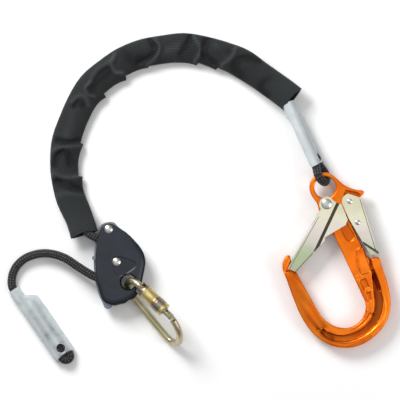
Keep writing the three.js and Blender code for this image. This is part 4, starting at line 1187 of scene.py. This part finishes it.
# Forged details of the hook's face, in millimetres in its own frame: a path, the height that it stands up
# by (or sinks by, if negative) at its start and end, and its half width.
HOOK_STROKES = [
    ([(15.6, -111), (11.8, -125.5), (9.4, -139.4), (8.2, -151.4), (7, -162)], -4.5, -3, 1.5),
    ([(7.5, -162), (8.2, -174), (4.4, -188), (-3.8, -199.6), (-16.6, -207.1), (-34.9, -212),
      (-54.1, -212.2), (-67.6, -208.6), (-83.7, -197.6), (-91.8, -186), (-96, -172)], 0.9, 0.9, 0.9),
    ([(-98.9, -96), (-97, -120), (-92, -147), (-89.6, -163), (-87, -176)], -1.2, -3.8, 7.5),
    ([(-106, -140), (-104, -163), (-97.5, -181), (-86, -197), (-69, -211)], -0.7, -0.9, 0.9),
    ([(2.9, -98.3), (-1.5, -109.7), (-4.4, -121.9), (-5.6, -131.4)], 0.9, 0.9, 0.8),
    ([(1.2, -98.3), (-3.2, -109.7), (-6.1, -121.9), (-7.3, -131.4)], -0.8, -0.8, 0.8),
    ([(-12.9, -131.8), (-7.1, -133)], 0.9, 0.9, 0.7),
    ([(-7.7, -157.3), (-2.5, -157.6)], 0.9, 0.9, 0.7),
    ([(-19.4, -186.4), (-15.4, -190)], -1.6, -1.6, 1.1),
    ([(-21.3, -188), (-29.4, -193.3), (-42.7, -196.4), (-53, -195.8)], -1.8, -0.4, 1.2),
    ([(-13, -163), (-17.5, -172), (-20.4, -181)], 0.8, 0.8, 0.8),
    ([(-12.9, -137), (-13.4, -152), (-13, -163)], 0.8, 0.8, 0.7),
    ([(-95.7, -83), (-91.6, -94.5), (-86.6, -112)], -1.1, -0.5, 0.7),
    ([(-96, -174), (-86.5, -182), (-77, -191), (-63, -199.4), (-48, -203.4), (-34, -202.6)], 0.9, 0.6, 0.8),
]
# The same for the painted shade that darkens its hollows.
HOOK_SHADES = [
    ([(-101, -104), (-101, -132), (-97, -160), (-90, -180), (-80, -195)], 0.3, 0.9, 5.0),
    ([(-19.4, -186.4), (-29.4, -193.8), (-42.7, -197), (-53, -196.4)], 0.8, 0.3, 1.0),
    ([(-95.7, -83), (-91.6, -94.5), (-86.6, -112)], 0.6, 0.3, 0.7),
    ([(-107, -150), (-104.5, -170), (-97, -187), (-84, -203), (-67, -213.6), (-48, -216.8), (-30, -215.4)],
     0.15, 0.6, 1.0),
]
GROOVE_INNER = [(-87, -176), (-79.4, -188.6), (-66.4, -197.6), (-50, -201), (-32.6, -199.4), (-18, -191.4),
                (-7.2, -178), (-1.6, -163), (4, -147.5), (9, -131.4)]
# Panels of the hook's face: an outline and how far it stands up.
HOOK_PANELS = [
    ([(19.3, -22.4), (24, -14.7), (28.7, -19.1), (37.4, -25.3), (40.1, -30.8), (36, -34), (24.3, -33)],
     -2.0),
    ([(-4.4, -56), (-5, -69.7), (-4.8, -76.9), (-3.3, -81.2), (0, -83.6), (4.1, -83.2), (7.5, -80.9),
      (8.1, -74), (7.1, -64.8), (6.5, -56)], -1.3),
    ([(3.3, -97.5), (8.4, -97), (10.8, -100.5), (10.4, -112.9), (9.2, -125.5), (6, -134), (-5.6, -132),
      (-4.4, -121.9), (-1.5, -109.7)], 0.9),
]


def hook_relief(x, y, z):
    """How far a point of the hook's face stands up, given its place and its height above the middle."""
    thin, thick = 4.5, 9.5
    on_spine = (x > -30) & (x < 10.5) & (y > -138) & (y < -95)
    total = np.where(on_spine, thin + (thick - thin) * smooth((-97 - y) / 34) - z, 0.0)
    return total + strokes_height(x, y, HOOK_STROKES) + panels_height(x, y, HOOK_PANELS)


def on_ramp(x, y, z):
    """The part of the spine that thickens towards the bowl, well inside its edges."""
    return ((x > -16.3) & (x < 10) & (y > -138) & (y < -97) & (z > 3)).astype(float)


def build_hook():
    """The hook's body, with its forged relief and painted shade in its hollows."""
    made = remeshed(copy_of("hook_body", "hook_casting"), 0.72, 8)
    local, rise = raise_faces(made, HOOK_PLACE, hook_relief, on_ramp)
    x, y, z = local[:, 0], local[:, 1], np.abs(local[:, 2])
    from_inner, _ = gap_to_path(x, y, eased(GROOVE_INNER))
    # Painted shade: dark in the groove, most by its inner edge and towards +X, where the relief sinks, and along
    # the shade strokes.
    depth = 0.36 + 0.5 * np.exp(-from_inner / 2.6) + 0.32 * smooth((x + 45) / 40)
    sunk = smooth((8.3 - z) / 3.2) * smooth((-128 - y) / 14) * (from_inner < 16) * depth
    carved = np.clip(-rise / 4.5, 0, 0.75) * smooth((y + 150) / 26)
    shades = strokes_height(x, y, HOOK_SHADES)
    mark(made, "hollow", np.clip(np.maximum(np.maximum(sunk, carved), shades), 0, 0.95))
    modify(made, "SMOOTH", factor=0.5, iterations=1)
    modify(made, "DECIMATE", ratio=0.75)
    baked(made)
    made.data.shade_smooth()
    finish_piece(made, "orange_aluminium")
    stand_in(made, "hook_body", "hook")


# ---------------------------------------------------------------- studio
def area_light(name, at, target, size, energy):
    data = bpy.data.lights.new(name, "AREA")
    data.shape = "RECTANGLE"
    data.size, data.size_y = size
    data.energy = energy
    lamp = bpy.data.objects.new(name, data)
    lamp.location = at
    lamp.rotation_euler = (Vector(target) - Vector(at)).to_track_quat("-Z", "Y").to_euler()
    bpy.context.scene.collection.objects.link(lamp)


VIEW_MIDDLE = (0.1232, 0.0658)  # the photograph looks straight down on this place
VIEW_WIDTH = 0.56


def build_studio():
    scene = bpy.context.scene
    low, high = CAD_BOX
    middle = (low + high) / 2
    span = 6.0
    corners = [(-span, -span), (span, -span), (span, span), (-span, span)]
    floor = new_object("floor", [(x, y, low.z - 0.4 * MM) for x, y in corners], [(0, 1, 2, 3)], False)
    paper = Look("paper", (0.9, 0.9, 0.9), 0.75)
    cloud = paper.noise(3, 2)
    paper.set("Base Color", paper.ramp(cloud, (0.3, (0.88, 0.88, 0.885)), (0.7, (0.91, 0.91, 0.91))))
    paper.set("Emission Strength", paper.node("NewGeometry").outputs["Backfacing"])  # pale from below too
    floor.data.materials.append(paper.material)
    world = bpy.data.worlds.new("studio")
    scene.world = world
    world.use_nodes = True
    sky = world.node_tree
    height = sky.nodes.new("ShaderNodeSeparateXYZ")
    sky.links.new(sky.nodes.new("ShaderNodeTexCoord").outputs["Generated"], height.inputs[0])
    ramp = sky.nodes.new("ShaderNodeValToRGB")
    sky.links.new(height.outputs["Z"], ramp.inputs["Fac"])
    for position, level in ((0.0, 0.06), (0.35, 0.16), (0.7, 0.5), (0.95, 1.0)):
        element = ramp.color_ramp.elements.new(position)
        element.color = (level, level, level, 1)
    sky.links.new(ramp.outputs["Color"], sky.nodes["Background"].inputs["Color"])
    sky.nodes["Background"].inputs["Strength"].default_value = 0.85
    area_light("key", (middle.x - 0.8, middle.y + 1.0, 1.1), middle, (0.7, 0.7), 30)
    area_light("fill", (middle.x + 1.2, middle.y - 0.4, 0.9), middle, (0.6, 0.6), 6)
    scene.view_settings.view_transform = "Standard"
    camera = bpy.data.objects.new("camera", bpy.data.cameras.new("camera"))
    camera.data.type = "ORTHO"
    camera.data.ortho_scale = VIEW_WIDTH
    camera.data.clip_end = 10
    camera.location = (*VIEW_MIDDLE, 1.5)
    scene.collection.objects.link(camera)
    scene.camera = camera


build_rope()
build_sleeve()
build_sewn_ends()
build_metal()
build_hook()
build_studio()
